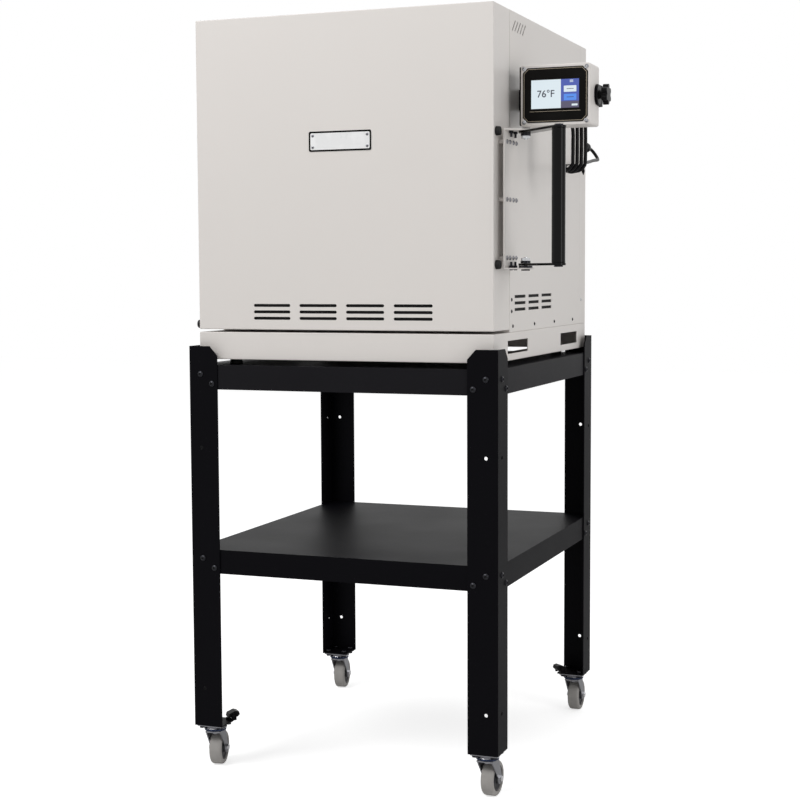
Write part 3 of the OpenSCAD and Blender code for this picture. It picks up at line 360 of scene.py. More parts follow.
# %% Making a piece
class Piece:
    def __init__(self, name, body, slot, *finishes):
        self.name, self.body, self.slot, self.finishes = name, body, slot, finishes
        self.mesh = bmesh.new()

    def prism(self, outline, back, front, finish=0):
        """A plate with an outline in x and z, between two depths."""
        loops = [[self.mesh.verts.new((x, y, z)) for x, z in outline] for y in (back, front)]
        self.skin(loops, finish)
        for loop in loops:
            self.mesh.faces.new(loop).material_index = finish

    def band(self, outer, inner, back, front, finish=0):
        """A flat ring between two outlines with as many points."""
        walls = ((outer, back), (outer, front), (inner, front), (inner, back))
        loops = [[self.mesh.verts.new((x, y, z)) for x, z in line] for line, y in walls]
        self.skin(loops + loops[:1], finish)

    def skin(self, loops, finish=0):
        for near, far in zip(loops, loops[1:]):
            for i, j in zip(range(len(near)), [*range(1, len(near)), 0]):
                self.mesh.faces.new((near[i], near[j], far[j], far[i])).material_index = finish

    def block(self, low, high, finish=0):
        low, high = Vector(low), Vector(high)
        place = Matrix.Translation((low + high) / 2) @ Matrix.Diagonal((*(high - low), 1.0))
        made = bmesh.ops.create_cube(self.mesh, size=1.0, matrix=place)
        for face in {f for v in made["verts"] for f in v.link_faces}:
            face.material_index = finish

    def turned(self, place, axis, profile, finish=0, steps=28):
        """A lathe shape: (radius, height) points turned about an axis."""
        lathe = bmesh.new()
        line = [lathe.verts.new((r, 0, h)) for r, h in profile]
        edges = [lathe.edges.new(pair) for pair in zip(line, line[1:])]
        bmesh.ops.spin(
            lathe, geom=line + edges, axis=(0, 0, 1), cent=(0, 0, 0), angle=2 * math.pi,
            steps=steps, use_merge=True, use_duplicate=False)
        bmesh.ops.remove_doubles(lathe, verts=lathe.verts, dist=0.0005)
        bmesh.ops.recalc_face_normals(lathe, faces=lathe.faces)
        upright = Vector(axis).to_track_quat("Z", "X").to_matrix().to_4x4()
        lathe.transform(Matrix.Translation(place) @ upright)
        for face in lathe.faces:
            face.material_index = finish
        held = bpy.data.meshes.new("lathe")
        lathe.to_mesh(held)
        lathe.free()
        self.mesh.from_mesh(held)
        bpy.data.meshes.remove(held)

    def screw(self, place, axis, radius, height, finish=0, recess_shade=1, drive=0.45, under=0.0):
        """A domed head with a recess, and its shank behind it where `under` is given."""
        rim, deep = radius * drive, height * 0.55
        dome = [(radius, 0.0), (radius, height * 0.18)]
        dome += [
            (radius * math.cos(a) + rim * 0.2 * math.sin(a), height * (0.18 + 0.82 * math.sin(a)))
            for a in (0.35, 0.7, 1.0)]
        dome += [(rim * 1.15, height), (rim, height * 0.97), (rim * 0.95, height - deep)]
        if under:
            dome = [(0.0, -under), (radius * 0.6, -under), (radius * 0.6, 0.0)] + dome
        else:
            dome = [(0.0, 0.0)] + dome
        self.turned(place, axis, dome, finish)
        # The recess floor is a flat dark disc: painted shade.
        self.turned(place, axis, [(rim * 0.97, height - deep), (0.0, height - deep)], recess_shade, 6)

    def nut(self, place, axis, radius, height, bore, finish=0):
        """A hexagon nut with worn corners and its bore."""
        chamfer = height * 0.14
        self.turned(place, axis, [
            (bore, 0.0), (radius * 0.93, 0.0), (radius, chamfer), (radius, height - chamfer),
            (radius * 0.93, height), (bore, height), (bore, 0.0)], finish, 6)

    def done(self, smooth=40, replaces=()):
        data = bpy.data.meshes.new(self.name)
        self.mesh.transform(Matrix.Translation(at(0, 0, 0)) @ Matrix.Scale(MM, 4))
        self.mesh.to_mesh(data)
        self.mesh.free()
        for finish in self.finishes:
            data.materials.append(finish)
        return show(data, self.name, self.body, smooth, replaces)


def show(data, name, body, smooth=40, replaces=()):
    data.polygons.foreach_set("use_smooth", [True] * len(data.polygons))
    data.set_sharp_from_angle(angle=math.radians(smooth))
    made = bpy.data.objects.new(name, data)
    bpy.context.scene.collection.objects.link(made)
    if replaces:
        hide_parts(*replaces)
    if body:
        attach(made, body)
    print(f"{name}: {len(data.polygons)} faces on {body}")
    return made


def by_ruler(point):
    return Vector(((point.x - datum_x) / MM, (point.y - datum_y) / MM, point.z / MM))


def paint(made, finish, where):
    """Give another finish to the faces whose middles pass a test in millimetres."""
    data = made.data
    data.materials.append(finish)
    for face in data.polygons:
        if where(by_ruler(face.center)):
            face.material_index = len(data.materials) - 1
    return made


# %% [markdown]
# Real sheet metal has no razor edges. A CAD node comes in as loose triangles,
# so a copy of it is merged, its flat faces are joined again, and the edges
# that turn sharply are rolled over with a small bevel.

# %% Rolled edges for a CAD node
FLAT_DEG = 0.6    # triangles this nearly in line are joined into one face
SHARP_DEG = 35    # edges that turn more than this are rolled over


def rolled(node, finish, width=0.6, segments=2, where=None, smooth=40, name=None):
    mesh = bmesh.new()
    mesh.from_mesh(frame["nodes"][node].data)
    bmesh.ops.remove_doubles(mesh, verts=mesh.verts, dist=0.00002)
    bmesh.ops.dissolve_limit(
        mesh, angle_limit=math.radians(FLAT_DEG), verts=mesh.verts, edges=mesh.edges)
    turning = [
        e for e in mesh.edges
        if len(e.link_faces) == 2 and e.calc_face_angle() > math.radians(SHARP_DEG)
        and (where is None or where((e.verts[0].co + e.verts[1].co) / 2))
    ]
    bmesh.ops.bevel(
        mesh, geom=turning, offset=width * MM, offset_type="OFFSET", affect="EDGES",
        segments=segments, profile=0.5, material=-1, clamp_overlap=True)
    data = bpy.data.meshes.new(name or node + "_rolled")
    mesh.to_mesh(data)
    mesh.free()
    data.materials.append(finish)
    made = show(data, name or node + "_rolled", body_of[node], smooth, (node,))
    flat = made.modifiers.new("flat faces", "WEIGHTED_NORMAL")
    flat.keep_sharp = True
    return made


def dress(finish, *nodes):
    """A CAD node that is already right only changes its finish."""
    for node in nodes:
        data = frame["nodes"][node].data
        data.materials.clear()
        data.materials.append(finish)


# %% [markdown]
# The controller's cable is one round cord of 8 mm. It drops from the gland
# under the controller, is wound three times into a hank, and goes on behind
# the case into its connector. The route's points are those of the CAD source.
# A curve with a round bevel follows them, made smooth by a Catmull-Rom line.

# %% The route of the cable
CORD = 8.0
gland_x, gland_z, gland_end = 796.0, 1447.0, 185.0
DROP_R = 4 * CORD
HANK_R, HANK_SIDE, HANK_PITCH, HANK_SHIFT, HANK_TURNS = 24.0, 92.0, 8.8, 7.0, 3.25
hank_x, hank_z, hank_y = gland_x - HANK_R, gland_z - DROP_R - 4.0, gland_end + 4 + DROP_R
connector_x, connector_z, plug_end = 671.0, 1436.0, 843.0


def hank_point(turn):
    angle = math.radians(-360 * turn)
    rise = math.sin(angle)
    side = 0.0 if abs(rise) < 0.01 else math.copysign(HANK_SIDE / 2, rise)
    return Vector((hank_x + HANK_SHIFT * turn + HANK_R * math.cos(angle),
                   hank_y + HANK_PITCH * turn, hank_z + HANK_R * rise + side))


HANK_STEPS = 24
hank_route = [hank_point(i / HANK_STEPS) for i in range(int(HANK_STEPS * HANK_TURNS) + 1)]
hank_out = (hank_route[-1] - hank_route[-2]).normalized()
drop_route = [Vector((gland_x, gland_end, gland_z))] + [
    Vector((gland_x, hank_y - DROP_R + DROP_R * math.sin(a),
            gland_z - DROP_R + DROP_R * math.cos(a)))
    for a in (math.radians(15 * i) for i in range(7))] + [Vector((gland_x, hank_y, hank_z))]
lead_route = [hank_route[-1], hank_route[-1] + 11 * hank_out] + [Vector(p) for p in (
    (777.5, 251.5, 1341.5), (771, 255, 1342.5), (766, 260, 1343.5), (762, 266, 1344.5),
    (760, 273, 1345.5), (759, 285, 1347), (757, 310, 1349), (752, 350, 1352),
    (745, 420, 1358), (735, 500, 1366.5), (722, 580, 1376), (709, 650, 1384),
    (700, 710, 1390), (696, 750, 1394), (694, 785, 1398), (692.5, 820, 1402.5),
    (691, 868, 1407), (689.7, 876.8, 1409), (686, 883.2, 1414.5), (681, 885.6, 1421.7),
    (676, 883.2, 1429), (672.3, 876.8, 1434), (connector_x, 868, connector_z),
    (connector_x, plug_end, connector_z))]


# %% A round tube along a route
def finer(route, cuts):
    """Catmull-Rom points between the given ones."""
    ends = [2 * route[0] - route[1], *route, 2 * route[-1] - route[-2]]
    line = []
    for a, b, c, d in zip(ends, ends[1:], ends[2:], ends[3:]):
        for i in range(cuts):
            t = i / cuts
            line.append(0.5 * (2 * b + (c - a) * t + (2 * a - 5 * b + 4 * c - d) * t ** 2
                               + (3 * b - a - 3 * c + d) * t ** 3))
    return line + [route[-1]]


def swept(name, line, radius, sides=16):
    """The mesh of a tube along a line of points in millimetres."""
    curve = bpy.data.curves.new(name, "CURVE")
    curve.dimensions = "3D"
    curve.bevel_depth = radius * MM
    curve.bevel_resolution = sides // 4 - 1
    curve.use_fill_caps = True
    spline = curve.splines.new("POLY")
    spline.points.add(len(line) - 1)
    for point, place in zip(spline.points, line):
        point.co = (*at(*place), 1.0)
    holder = bpy.data.objects.new(name, curve)
    bpy.context.scene.collection.objects.link(holder)
    bpy.context.view_layer.update()
    data = bpy.data.meshes.new_from_object(holder)
    bpy.data.objects.remove(holder)
    data.materials.clear()
    return data


def cable(name, node, route, cuts, body="root"):
    line = finer(route, cuts)
    data = swept(name, line, CORD / 2)
    data.materials.append(jacket)
    made = show(data, name, body, 60, (node,))
    length = sum((b - a).length for a, b in zip(line, line[1:])) * MM
    return made, [at(*p) for p in line], length


drop, drop_line, drop_length = cable("cable_drop_cord", "cable_drop", drop_route, 3, None)
hank, hank_line, hank_length = cable("cable_hank_cord", "cable_hank", hank_route, 2)
lead, lead_line, lead_length = cable("cable_lead_cord", "cable_lead", lead_route, 5)
print("cord lengths", round(drop_length, 3), round(hank_length, 3), round(lead_length, 3))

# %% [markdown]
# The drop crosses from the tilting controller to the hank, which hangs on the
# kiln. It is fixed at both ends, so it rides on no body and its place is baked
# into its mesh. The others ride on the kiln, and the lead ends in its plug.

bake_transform(drop)

# %% [markdown]
# The big sheets come first. The door and the case are folded boxes whose
# outside corners are rounder than the cut edges of their slots, so only the
# edges that lie on the outside of the box get the wide bevel.

# %% Door, case, rear cover and skirt
def outer(low, high, near=0.5):
    """True on the outside edges of a box given by the ruler."""
    corner, far = at(*low), at(*high)

    def test(middle):
        hits = sum(
            min(abs(middle[i] - corner[i]), abs(middle[i] - far[i])) < near * MM for i in range(3))
        return hits >= 2
    return test


SHEET_CORNERS = (("door_shell", 2.2), ("kiln_case", 1.6), ("rear_cover", 1.8), ("base_skirt", 1.8))
for node, radius in SHEET_CORNERS:
    rolled(node, cream, radius, 4, outer(*in_mm(node)))

# %% Bracket, arms, controller box and yoke
rolled("handle_bracket", cream, 0.9, 3)
rolled("controller_box", cream, 1.8, 4, outer(*in_mm("controller_box"), near=6))
rolled("handle_arm_top", black_gloss, 0.8, 3)
rolled("handle_arm_bottom", black_gloss, 0.8, 3)
rolled("controller_yoke", black_coat, 0.8, 2)
box_low, box_high = in_mm("controller_box")
# The cheek is a black plate beside the box. It is partly the yoke's side and partly painted shade
# for the dark line along the box's left edge.
shade_cheek = Piece("yoke_cheek_shade", "root", slot_of["controller_yoke"], black_coat)
shade_cheek.block(
    (box_low.x - 3.4, box_low.y + 3.0, box_low.z + 2.0),
    (box_low.x - 0.6, box_high.y + 17, box_high.z - 2.0))
bmesh.ops.bevel(
    shade_cheek.mesh, geom=[e for e in shade_cheek.mesh.edges if abs(e.verts[0].co.x - e.verts[1].co.x) > 1],
    offset=5.0, affect="EDGES", segments=5, profile=0.5, material=-1)
shade_cheek.done(30)
rolled("handle_grip", black_gloss, 1.2, 3)
pivots = rolled("handle_pivots", black_oxide, 0.4, 2)
ARM_BOTTOM, ARM_TOP = in_mm("handle_arm_bottom")[0].z, in_mm("handle_arm_top")[1].z


def bright_nut(middle):
    """The nuts lie farthest inside, past the black bushes."""
    inside = middle.z < ARM_TOP - 5 - 5.6 if middle.z > 1275 else middle.z > ARM_BOTTOM + 5 + 5.6
    return inside and middle.x > 715


paint(pivots, zinc, bright_nut)
rolled("grip_bolts", black_oxide, 0.4, 2)

# %% The stand
for corner in ("front_left", "front_right", "rear_left", "rear_right"):
    rolled("leg_" + corner, black_coat, 0.9, 2)
# The deck takes the lighter copy of the black coat, as painted light.
rolled("stand_deck", lit_deck_coat, 0.8, 2)
rolled("stand_shelf", black_coat, 0.8, 2)

# %% [markdown]
# A caster is a pressed fork under a ring of balls. The two halves of the ring
# are turned shapes: the upper one is fixed to the stand and the lower one
# turns with the fork. The wheel is a dark hub with a grey rubber tread.

# %% Casters
for corner in ("front_left", "front_right", "rear_left", "rear_right"):
    low, high = in_mm("wheel_" + corner)
    hub = (low + high) / 2
    stand_low, stand_high = in_mm("leg_" + corner)
    swivel = (stand_low + stand_high) / 2
    trail = Vector((hub.x - swivel.x, hub.y - swivel.y, 0)).normalized()
    axle = Vector((trail.y, -trail.x, 0))

    def on_axle(middle, hub=hub, axle=axle):
        away = middle - hub
        return abs(away.dot(axle)) > 18.2 and (away - axle * away.dot(axle)).length < 7.6

    paint(rolled("fork_" + corner, grey_steel, 0.6, 2), bright_steel, on_axle)
    rolled("wheel_" + corner, hub_plastic, 0.8, 2)
    rolled("tyre_" + corner, tyre_rubber, 0.5, 2)
    # The race ring is real, and its dark blue is painted shade for the gap at the swivel.
    race = Piece("ball_race_" + corner, "caster_" + corner, "zinc", race_shade_steel)
    race.turned((swivel.x, swivel.y, 86.8), (0, 0, 1), [
        (22.6, 0.1), (23.6, 0.3), (24.9, 1.8), (25.3, 3.4), (24.6, 4.9), (23.4, 5.7), (22.6, 5.7),
        (22.6, 0.1)], steps=48)
    race.done(60)
    cup = Piece("race_cup_" + corner, "root", "zinc", bright_steel)
    cup.turned((swivel.x, swivel.y, 93.1), (0, 0, 1), [
        (22.8, 0.2), (26.0, 0.0), (26.6, 0.6), (26.2, 1.4), (24.4, 2.4), (23.6, 4.2), (22.8, 4.6),
        (22.8, 0.2)], steps=48)
    cup.done(60)
paint(rolled("caster_plates", grey_steel, 0.6, 2), black_coat, lambda middle: middle.z > 106.2)
for node in ("brake_pedal_front_left", "brake_pedal_rear_right"):
    rolled(node, plastic, 1.4, 3)

# %% [markdown]
# Every screw on the kiln is a domed head with a recess, so one lathe profile
# serves them all. The places repeat the patterns of the CAD source.

# %% Bolts of the stand
stand_low = in_mm("leg_front_left")[0]
stand_high = in_mm("leg_rear_right")[1]
bolts = Piece("stand_bolt_set", "root", slot_of["stand_bolts"], black_oxide, shade)
for x, out_x in ((stand_low.x, -1), (stand_high.x, 1)):
    for y, out_y in ((stand_low.y, -1), (stand_high.y, 1)):
        for z in (900.0, 487.0):
            for inset, drop in ((27.0, 0.0), (55.0, 21.0)):
                for place, axis in (
                        (Vector((x - out_x * inset, y, z - drop)), Vector((0, out_y, 0))),
                        (Vector((x, y - out_y * inset, z - drop)), Vector((out_x, 0, 0)))):
                    bolts.screw(place, axis, 6.6, 3.4, drive=0.42, under=5.0)
                    bolts.nut(place - axis * 5.0, -axis, 7.0, 5.0, 3.8)
        for dx in (12.0, 56.0):
            for dy in (12.0, 56.0):
                foot = Vector((x - out_x * dx, y - out_y * dy, 0))
                bolts.nut(foot + Vector((0, 0, 95)), (0, 0, 1), 6.5, 5.0, 0.0)
                bolts.turned(foot + Vector((0, 0, 99)), (0, 0, 1), [
                    (0, 0), (4, 0), (4, 12), (3.2, 12.5), (0, 12.5)])
                bolts.nut(foot + Vector((0, 0, 106)), (0, 0, 1), 6.5, 5.5, 3.8)
bolts.done(35, ("stand_bolts",))

# %% Screws of the case and of the bracket
W = case_high.x
back = in_mm("rear_cover")[1].y
heads = Piece("case_screw_set", "root", slot_of["case_screws"], zinc, shade, black_oxide)
for x, out in ((0.0, -1), (W, 1)):
    for y in (137.0, 305.0, 473.0, 641.0):
        heads.screw((x, y, 1006.0), (out, 0, 0), 4.0, 1.6, finish=2)
    for z in (1053.0, 1615.0):
        heads.screw((x, back - 43.0, z), (out, 0, 0), 4.0, 1.6)
for z in (1038.0, 1063.0):
    heads.screw((W, 128.0, z), (1, 0, 0), 4.0, 1.6, finish=2)
for x in (20.0, W - 20.0):
    for z in (1013.0, 1655.0):
        heads.screw((x, back, z), (0, 1, 0), 4.0, 1.6)
heads.done(35, ("case_screws",))

studs = Piece("bracket_bolt_set", "door", slot_of["bracket_bolts"], grey_steel, shade, cream)
for y in (41.0, 62.0, 86.0, 107.0):
    for z in (1393.0, 1273.5, 1152.0):
        studs.turned((W, y, z), (1, 0, 0), [(0, 0), (4.0, 0), (4.0, 13.0), (0, 13.0)], finish=2)
        studs.screw((W + 16.0, y, z), (1, 0, 0), 4.9, 3.0)
studs.done(35, ("bracket_bolts",))

# %% Hinges, with three screws in each leaf
for node in ("hinge_body_leaves", "hinge_pins", "hinge_door_leaves"):
    rolled(node, zinc, 0.4, 2)
hinge_low, hinge_high = in_mm("hinge_door_leaves")
for name, body, y in (("hinge_screws_door", "door", 83.0), ("hinge_screws_case", "root", 143.0)):
    leaf = Piece(name, body, "zinc", bright_steel, shade)
    for middle in (hinge_low.z + 45, (hinge_low.z + hinge_high.z) / 2, hinge_high.z - 45):
        for dz, dy in ((-32.0, 6.0), (0.0, -8.0), (32.0, 6.0)):
            side = dy if body == "root" else -dy
            leaf.screw((-3.0, y + side, middle + dz), (-1, 0, 0), 4.2, 1.2)
    leaf.done(35)

# %% [markdown]
# Behind each group of cooling slots the case is dark and hollow. A dull black
# sheet of painted shade stands a few millimetres behind the sheet metal, so
# that the slots read as holes from every side.

# %% Painted shade behind the slots
door_shade_sheet = Piece("door_slot_shade", "door", "fibre", shade)
door_shade_sheet.block((128, 5, 1016), (558, 6, 1060))
door_shade_sheet.done()
slot_shade_sheet = Piece("case_slot_shade", "root", "fibre", shade)
for x in (3.0, W - 4.0):
    slot_shade_sheet.block((x, 146, 1033), (x + 1, 453, 1077))
    slot_shade_sheet.block((x, 124, 1627), (x + 1, 238, 1663))
for z in (1026.0, 1598.0):
    slot_shade_sheet.block((128, back - 6, z), (558, back - 5, z + 42))
slot_shade_sheet.done()

# %% [markdown]
# The heating elements are coils that lie in grooves round three sides of the
# chamber. Each level is one helix that runs along the left wall, the back and
# the right wall, with its turns a little over a wire apart.

# %% Heating coils
element_low, element_high = in_mm("heating_elements")
chamber_back = element_high.y - 4.0
COIL_R, WIRE_R, COIL_PITCH, COIL_STEPS = 3.1, 0.8, 6.5, 9


def coil_path(z):
    left, right, front = element_low.x + 4.0, element_high.x - 4.0, element_low.y
    legs = [
        (Vector((left, front, z)), Vector((left, chamber_back, z))),
        (Vector((left, chamber_back, z)), Vector((right, chamber_back, z))),
        (Vector((right, chamber_back, z)), Vector((right, front, z)))]
    points = []
    for start, end in legs:
        along = (end - start).normalized()
        side = along.cross(Vector((0, 0, 1)))
        count = int((end - start).length / COIL_PITCH * COIL_STEPS)
        for i in range(count):
            turn = 2 * math.pi * i / COIL_STEPS
            points.append(start + (end - start) * (i / count)
                          + COIL_R * (math.cos(turn) * side + Vector((0, 0, math.sin(turn)))))
    return points


LEVELS = 6
first, last = element_low.z + 4.0, element_high.z - 4.0
coils = []
for level in range(LEVELS):
    z = first + (last - first) * level / (LEVELS - 1)
    data = swept(f"coil_{level}", coil_path(z), WIRE_R, 4)
    data.materials.append(scorched)
    coils.append(show(data, f"heating_coil_{level}", "root", 60,
                      ("heating_elements",)))

# %% [markdown]
# The plate on the door is white, with a black line round its edge and a small
# screw in each corner.

# %% Outlines
def rounded(x, z, width, height, radius, cuts=6):
    """A rectangle with round corners about a middle, as points in x and z."""
    points = []
    for sx, sz, start in ((1, 1, 0), (-1, 1, 90), (-1, -1, 180), (1, -1, 270)):
        cx, cz = x + sx * (width / 2 - radius), z + sz * (height / 2 - radius)
        points += [(cx + radius * math.cos(math.radians(start + 90 * k / cuts)),
                    cz + radius * math.sin(math.radians(start + 90 * k / cuts)))
                   for k in range(cuts + 1)]
    return points


def notched(x, z, width, height, notch):
    """A rectangle with its corners cut off at 45 degrees."""
    w, h = width / 2, height / 2
    corners = ((w, h - notch), (w - notch, h), (notch - w, h), (-w, h - notch),
               (-w, notch - h), (notch - w, -h), (w - notch, -h), (w, notch - h))
    return [(x + a, z + b) for a, b in corners]


# %% Door plate
PLATE_SCREW_INSET = 9.5
badge_low, badge_high = in_mm("badge_plate")
bx, bz = (badge_low.x + badge_high.x) / 2, (badge_low.z + badge_high.z) / 2
bw, bh = badge_high.x - badge_low.x, badge_high.z - badge_low.z
rolled("badge_plate", white_plate, 0.4, 2)
line = Piece("badge_border", "door", "badge", ink)
line.band(rounded(bx, bz, bw - 0.4, bh - 0.4, 3.9), rounded(bx, bz, bw - 8.0, bh - 8.0, 2.6),
          badge_low.y, badge_low.y - 0.12)
line.done()
small = Piece("badge_screws", "door", "badge", grey_steel, shade)
for x in (badge_low.x + PLATE_SCREW_INSET, badge_high.x - PLATE_SCREW_INSET):
    for z in (badge_low.z + PLATE_SCREW_INSET, badge_high.z - PLATE_SCREW_INSET):
        small.screw((x, badge_low.y, z), (0, -1, 0), 3.3, 0.9)
small.done(35)

# %% [markdown]
# The controller has a black front foil with a thin pale line near its edge, a
# second line under the screen, and a lit screen. The picture on it is made of
# thin tiles on the glass: a white page with the reading, and a blue column
# with two buttons.

# %% Front foil
panel_low, panel_high = in_mm("controller_panel")
px, pz = (panel_low.x + panel_high.x) / 2, (panel_low.z + panel_high.z) / 2
pw, ph = panel_high.x - panel_low.x, panel_high.z - panel_low.z
screen_low, screen_high = in_mm("touch_screen")
glass_low = Vector((screen_low.x + 3, screen_low.y, screen_low.z + 3))
glass_high = Vector((screen_high.x - 3, screen_low.y, screen_high.z - 3))
FOIL_MORE = 3.2
window = [(glass_high.x + 0.3, glass_low.z - 0.3), (glass_high.x + 0.3, glass_high.z + 0.3),
          (glass_high.x + 0.3, glass_high.z + 0.3), (glass_low.x - 0.3, glass_high.z + 0.3),
          (glass_low.x - 0.3, glass_high.z + 0.3), (glass_low.x - 0.3, glass_low.z - 0.3),
          (glass_low.x - 0.3, glass_low.z - 0.3), (glass_high.x + 0.3, glass_low.z - 0.3)]
sheet = Piece("front_foil", "controller", slot_of["controller_panel"], ink)
outline = notched(px, pz, pw + 2 * FOIL_MORE, ph + 2 * FOIL_MORE, 10.8)
sheet.band(outline[-1:] + outline[:-1], window, panel_high.y, panel_low.y)
bmesh.ops.dissolve_degenerate(sheet.mesh, dist=0.001, edges=sheet.mesh.edges)
sheet.done(30, ("controller_panel",))
foil = Piece("foil_lines", "controller", "black_plastic", gold_ink)
foil.band(notched(px, pz, pw + 1.4, ph + 1.4, 9.3), notched(px, pz, pw, ph, 8.9),
          panel_low.y, panel_low.y - 0.1)
foil.block(
    (glass_low.x - 2, panel_low.y - 0.1, glass_low.z - 5.2),
    (glass_high.x + 2, panel_low.y, glass_low.z - 4.6))
foil.done()

# %% Corner screws of the controller
FACE_SCREW_INSET = 7.2
face_screws = Piece(
    "controller_face_screws", "controller", slot_of["controller_screws"], grey_steel, shade)
for x in (box_low.x + FACE_SCREW_INSET, box_high.x - FACE_SCREW_INSET):
    for z in (box_low.z + FACE_SCREW_INSET, box_high.z - FACE_SCREW_INSET):
        face_screws.screw((x, box_low.y, z), (0, -1, 0), 4.1, 2.6, drive=0.5)
face_screws.done(35)
dress(zinc, "controller_screws")

# %% Lit picture on the glass
dress(ink, "touch_screen")
gw, gh = glass_high.x - glass_low.x, glass_high.z - glass_low.z


def tile(piece, u0, u1, v0, v1, layer, finish, radius=0.8):
    """A rounded tile by fractions of the glass, counted from its top left."""
    x, z = glass_low.x + gw * (u0 + u1) / 2, glass_high.z - gh * (v0 + v1) / 2
    outline = rounded(x, z, gw * (u1 - u0), gh * (v1 - v0), radius, 3)
    piece.prism(outline, glass_low.y + 0.05, glass_low.y - 0.05 * layer, finish)


picture = Piece("screen_picture", "controller", slot_of["touch_screen"], screen_white, screen_blue,
                screen_dusk, screen_sky)
tile(picture, 0.012, 0.62, 0.015, 0.985, 1, 0, 0.2)
tile(picture, 0.62, 0.988, 0.015, 0.76, 1, 1, 0.2)
tile(picture, 0.62, 0.988, 0.76, 0.985, 1, 2, 0.2)
tile(picture, 0.68, 0.935, 0.24, 0.45, 2, 0)
tile(picture, 0.68, 0.935, 0.52, 0.73, 2, 3)
tile(picture, 0.84, 0.96, 0.855, 0.92, 2, 0)
for k in range(3):
    tile(picture, 0.80, 0.87, 0.05 + 0.03 * k, 0.066 + 0.03 * k, 2, 0, 0.2)
picture.done()
marks = Piece("screen_marks", "controller", slot_of["touch_screen"], screen_ink)
tile(marks, 0.74, 0.88, 0.335, 0.355, 3, 0, 0.3)
tile(marks, 0.74, 0.88, 0.615, 0.635, 3, 0, 0.3)
marks.done()
reading = bpy.data.curves.new("reading", "FONT")
reading.body = "76\u00b0F"
reading.align_x, reading.align_y = "CENTER", "CENTER"
reading.size = gh * 0.335
reading.extrude = 0.05
reading.offset = 0.22
holder = bpy.data.objects.new("reading", reading)
bpy.context.scene.collection.objects.link(holder)
bpy.context.view_layer.update()
figures = bpy.data.meshes.new_from_object(holder)
bpy.data.objects.remove(holder)
spot = Vector((glass_low.x + gw * 0.31, glass_low.y - 0.1, glass_high.z - gh * 0.5))
figures.transform(
    Matrix.Translation(at(*spot)) @ Matrix.Rotation(math.radians(90), 4, "X") @ Matrix.Scale(MM, 4))
figures.materials.clear()
figures.materials.append(screen_ink)
show(figures, "screen_reading", "controller")

# %% [markdown]
# The gland, the knob, the plug and the feet are turned or moulded parts. The
# knob has a lobed grip on a round neck, and the plug has ribs for the fingers.

# %% Knob, gland, plug and connectors
rolled("star_knob", plastic, 1.6, 3)
dress(plastic, "controller_gland")
gland = Piece("gland_ribs", "controller", "black_plastic", plastic)
for k in range(4):
    gland.turned((gland_x, gland_end - 6.5 + 1.5 * k, gland_z), (0, 1, 0),
                 [(4.4, 0), (7.4 - 0.5 * k, 0), (7.4 - 0.5 * k, 0.7), (4.4, 0.7), (4.4, 0)])
gland.done(35)
rolled("rear_connectors", plastic, 0.6, 2)
rolled("cable_plug", plastic, 1.2, 3)
ribs = Piece("plug_ribs", "root", "black_plastic", plastic)
for k in range(7):
    ribs.turned((connector_x, back + 24 + 5.0 * k, connector_z), (0, 1, 0),
                [(11.4, 0), (12.7, 0.5), (12.7, 2.0), (11.4, 2.5), (11.4, 0)], steps=32)
ribs.done(60)

# %% Tie on the hank
strap = Piece("cable_tie", "root", "cable", jacket)
TIE = Vector((792.0, 243.0, 1349.0))
strap.band(rounded(TIE.x - 4, TIE.z, 30, 13, 5.5), rounded(TIE.x - 4, TIE.z, 27, 10, 4.4),
           TIE.y - 8, TIE.y + 8)
tail = ((805.7, 1358.0), (802.0, 1345.0), (803.4, 1340.0), (806.8, 1333.0), (809.6, 1342.0))
strap.prism(tail, 268.5, 271.5)
strap.done()

# %% Feet, bumpers and lining
for node in ("kiln_feet", "door_bumpers"):
    rolled(node, rubber, 1.2, 3)
dress(fibre_board, "case_insulation", "door_gasket", "thermocouple")
dress(wall_brick, "firebrick_walls", "door_insulation")
dress(floor_brick, "firebrick_roof", "firebrick_hearth")

# %% [markdown]
# The floor and the light come last. The floor is pale, and a world that is
# white only to the camera and to reflections keeps the background clean
# without washing out the cream paint.

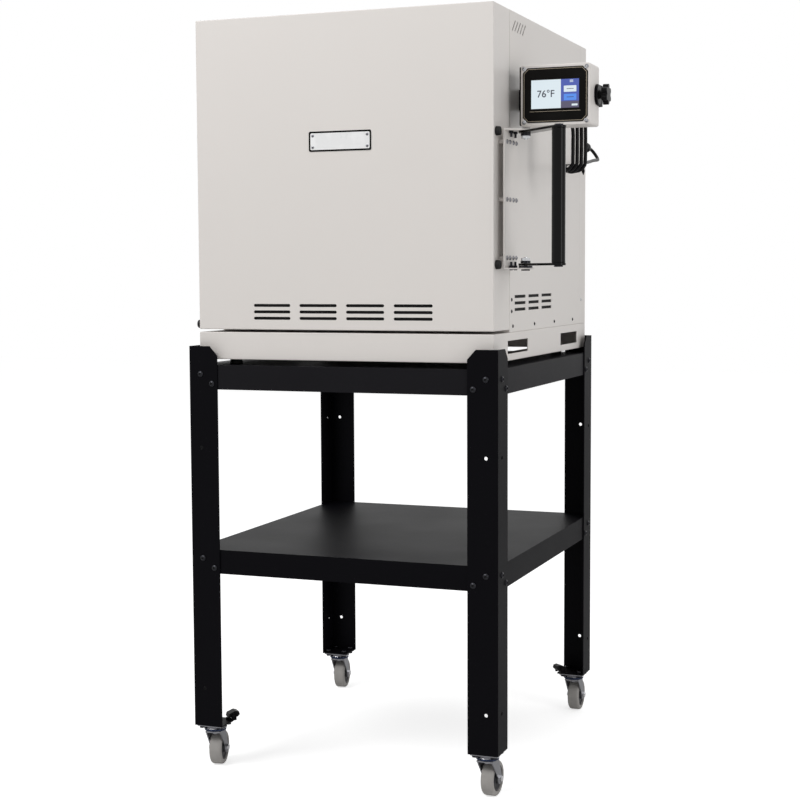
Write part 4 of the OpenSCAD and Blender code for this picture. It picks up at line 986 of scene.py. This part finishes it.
# %% Floor, world and lamps
floor_mesh = bmesh.new()
bmesh.ops.create_grid(floor_mesh, x_segments=1, y_segments=1, size=14.0)
floor_data = bpy.data.meshes.new("floor")
floor_mesh.to_mesh(floor_data)
floor_mesh.free()
floor = bpy.data.objects.new("floor", floor_data)
bpy.context.scene.collection.objects.link(floor)
ground = Finish("floor_white")
seen = Wire(ground, ground.tree.nodes.new("ShaderNodeLightPath").outputs["Is Camera Ray"])
ground.set(
    Base_Color=rgb(0.9, 0.9, 0.9), Roughness=0.8, Specular_IOR_Level=0.0,
    Emission_Color=ground.mix(seen, rgb(0, 0, 0), rgb(1, 1, 1)), Emission_Strength=0.62)
floor_data.materials.append(ground.material)


def only_seen(tree):
    """1 for rays from the camera and for reflections, 0 for diffuse light."""
    path = tree.nodes.new("ShaderNodeLightPath").outputs
    total = path["Is Camera Ray"]
    for name in ("Is Glossy Ray", "Is Transmission Ray"):
        add = tree.nodes.new("ShaderNodeMath")
        add.operation, add.use_clamp = "ADD", True
        tree.links.new(total, add.inputs[0])
        tree.links.new(path[name], add.inputs[1])
        total = add.outputs[0]
    return total


world = bpy.data.worlds.new("studio")
bpy.context.scene.world = world
world.use_nodes = True
sky = world.node_tree
bright = sky.nodes["Background"]
bright.inputs["Color"].default_value = rgb(1, 1, 1)
strength = sky.nodes.new("ShaderNodeMapRange")
sky.links.new(only_seen(sky), strength.inputs["Value"])
strength.inputs["To Min"].default_value = 0.42
strength.inputs["To Max"].default_value = 1.0
sky.links.new(strength.outputs[0], bright.inputs["Strength"])


def softbox(name, place, target, width, height, watts):
    light = bpy.data.lights.new(name, "AREA")
    light.shape, light.size, light.size_y, light.energy = "RECTANGLE", width, height, watts
    lamp = bpy.data.objects.new(name, light)
    bpy.context.scene.collection.objects.link(lamp)
    lamp.location = place
    lamp.rotation_mode = "QUATERNION"
    lamp.rotation_quaternion = (Vector(target) - Vector(place)).to_track_quat("-Z", "Y")


softbox("key", (-1.8, -3.0, 3.7), (0, 0, 1.75), 2.0, 1.6, 82)
softbox("fill", (3.4, -1.6, 1.9), (0, 0, 1.2), 1.2, 2.6, 33)
softbox("top", (0.3, 0.4, 4.0), (0, 0, 1.0), 2.5, 2.5, 26)
bpy.context.scene.view_settings.view_transform = "Standard"
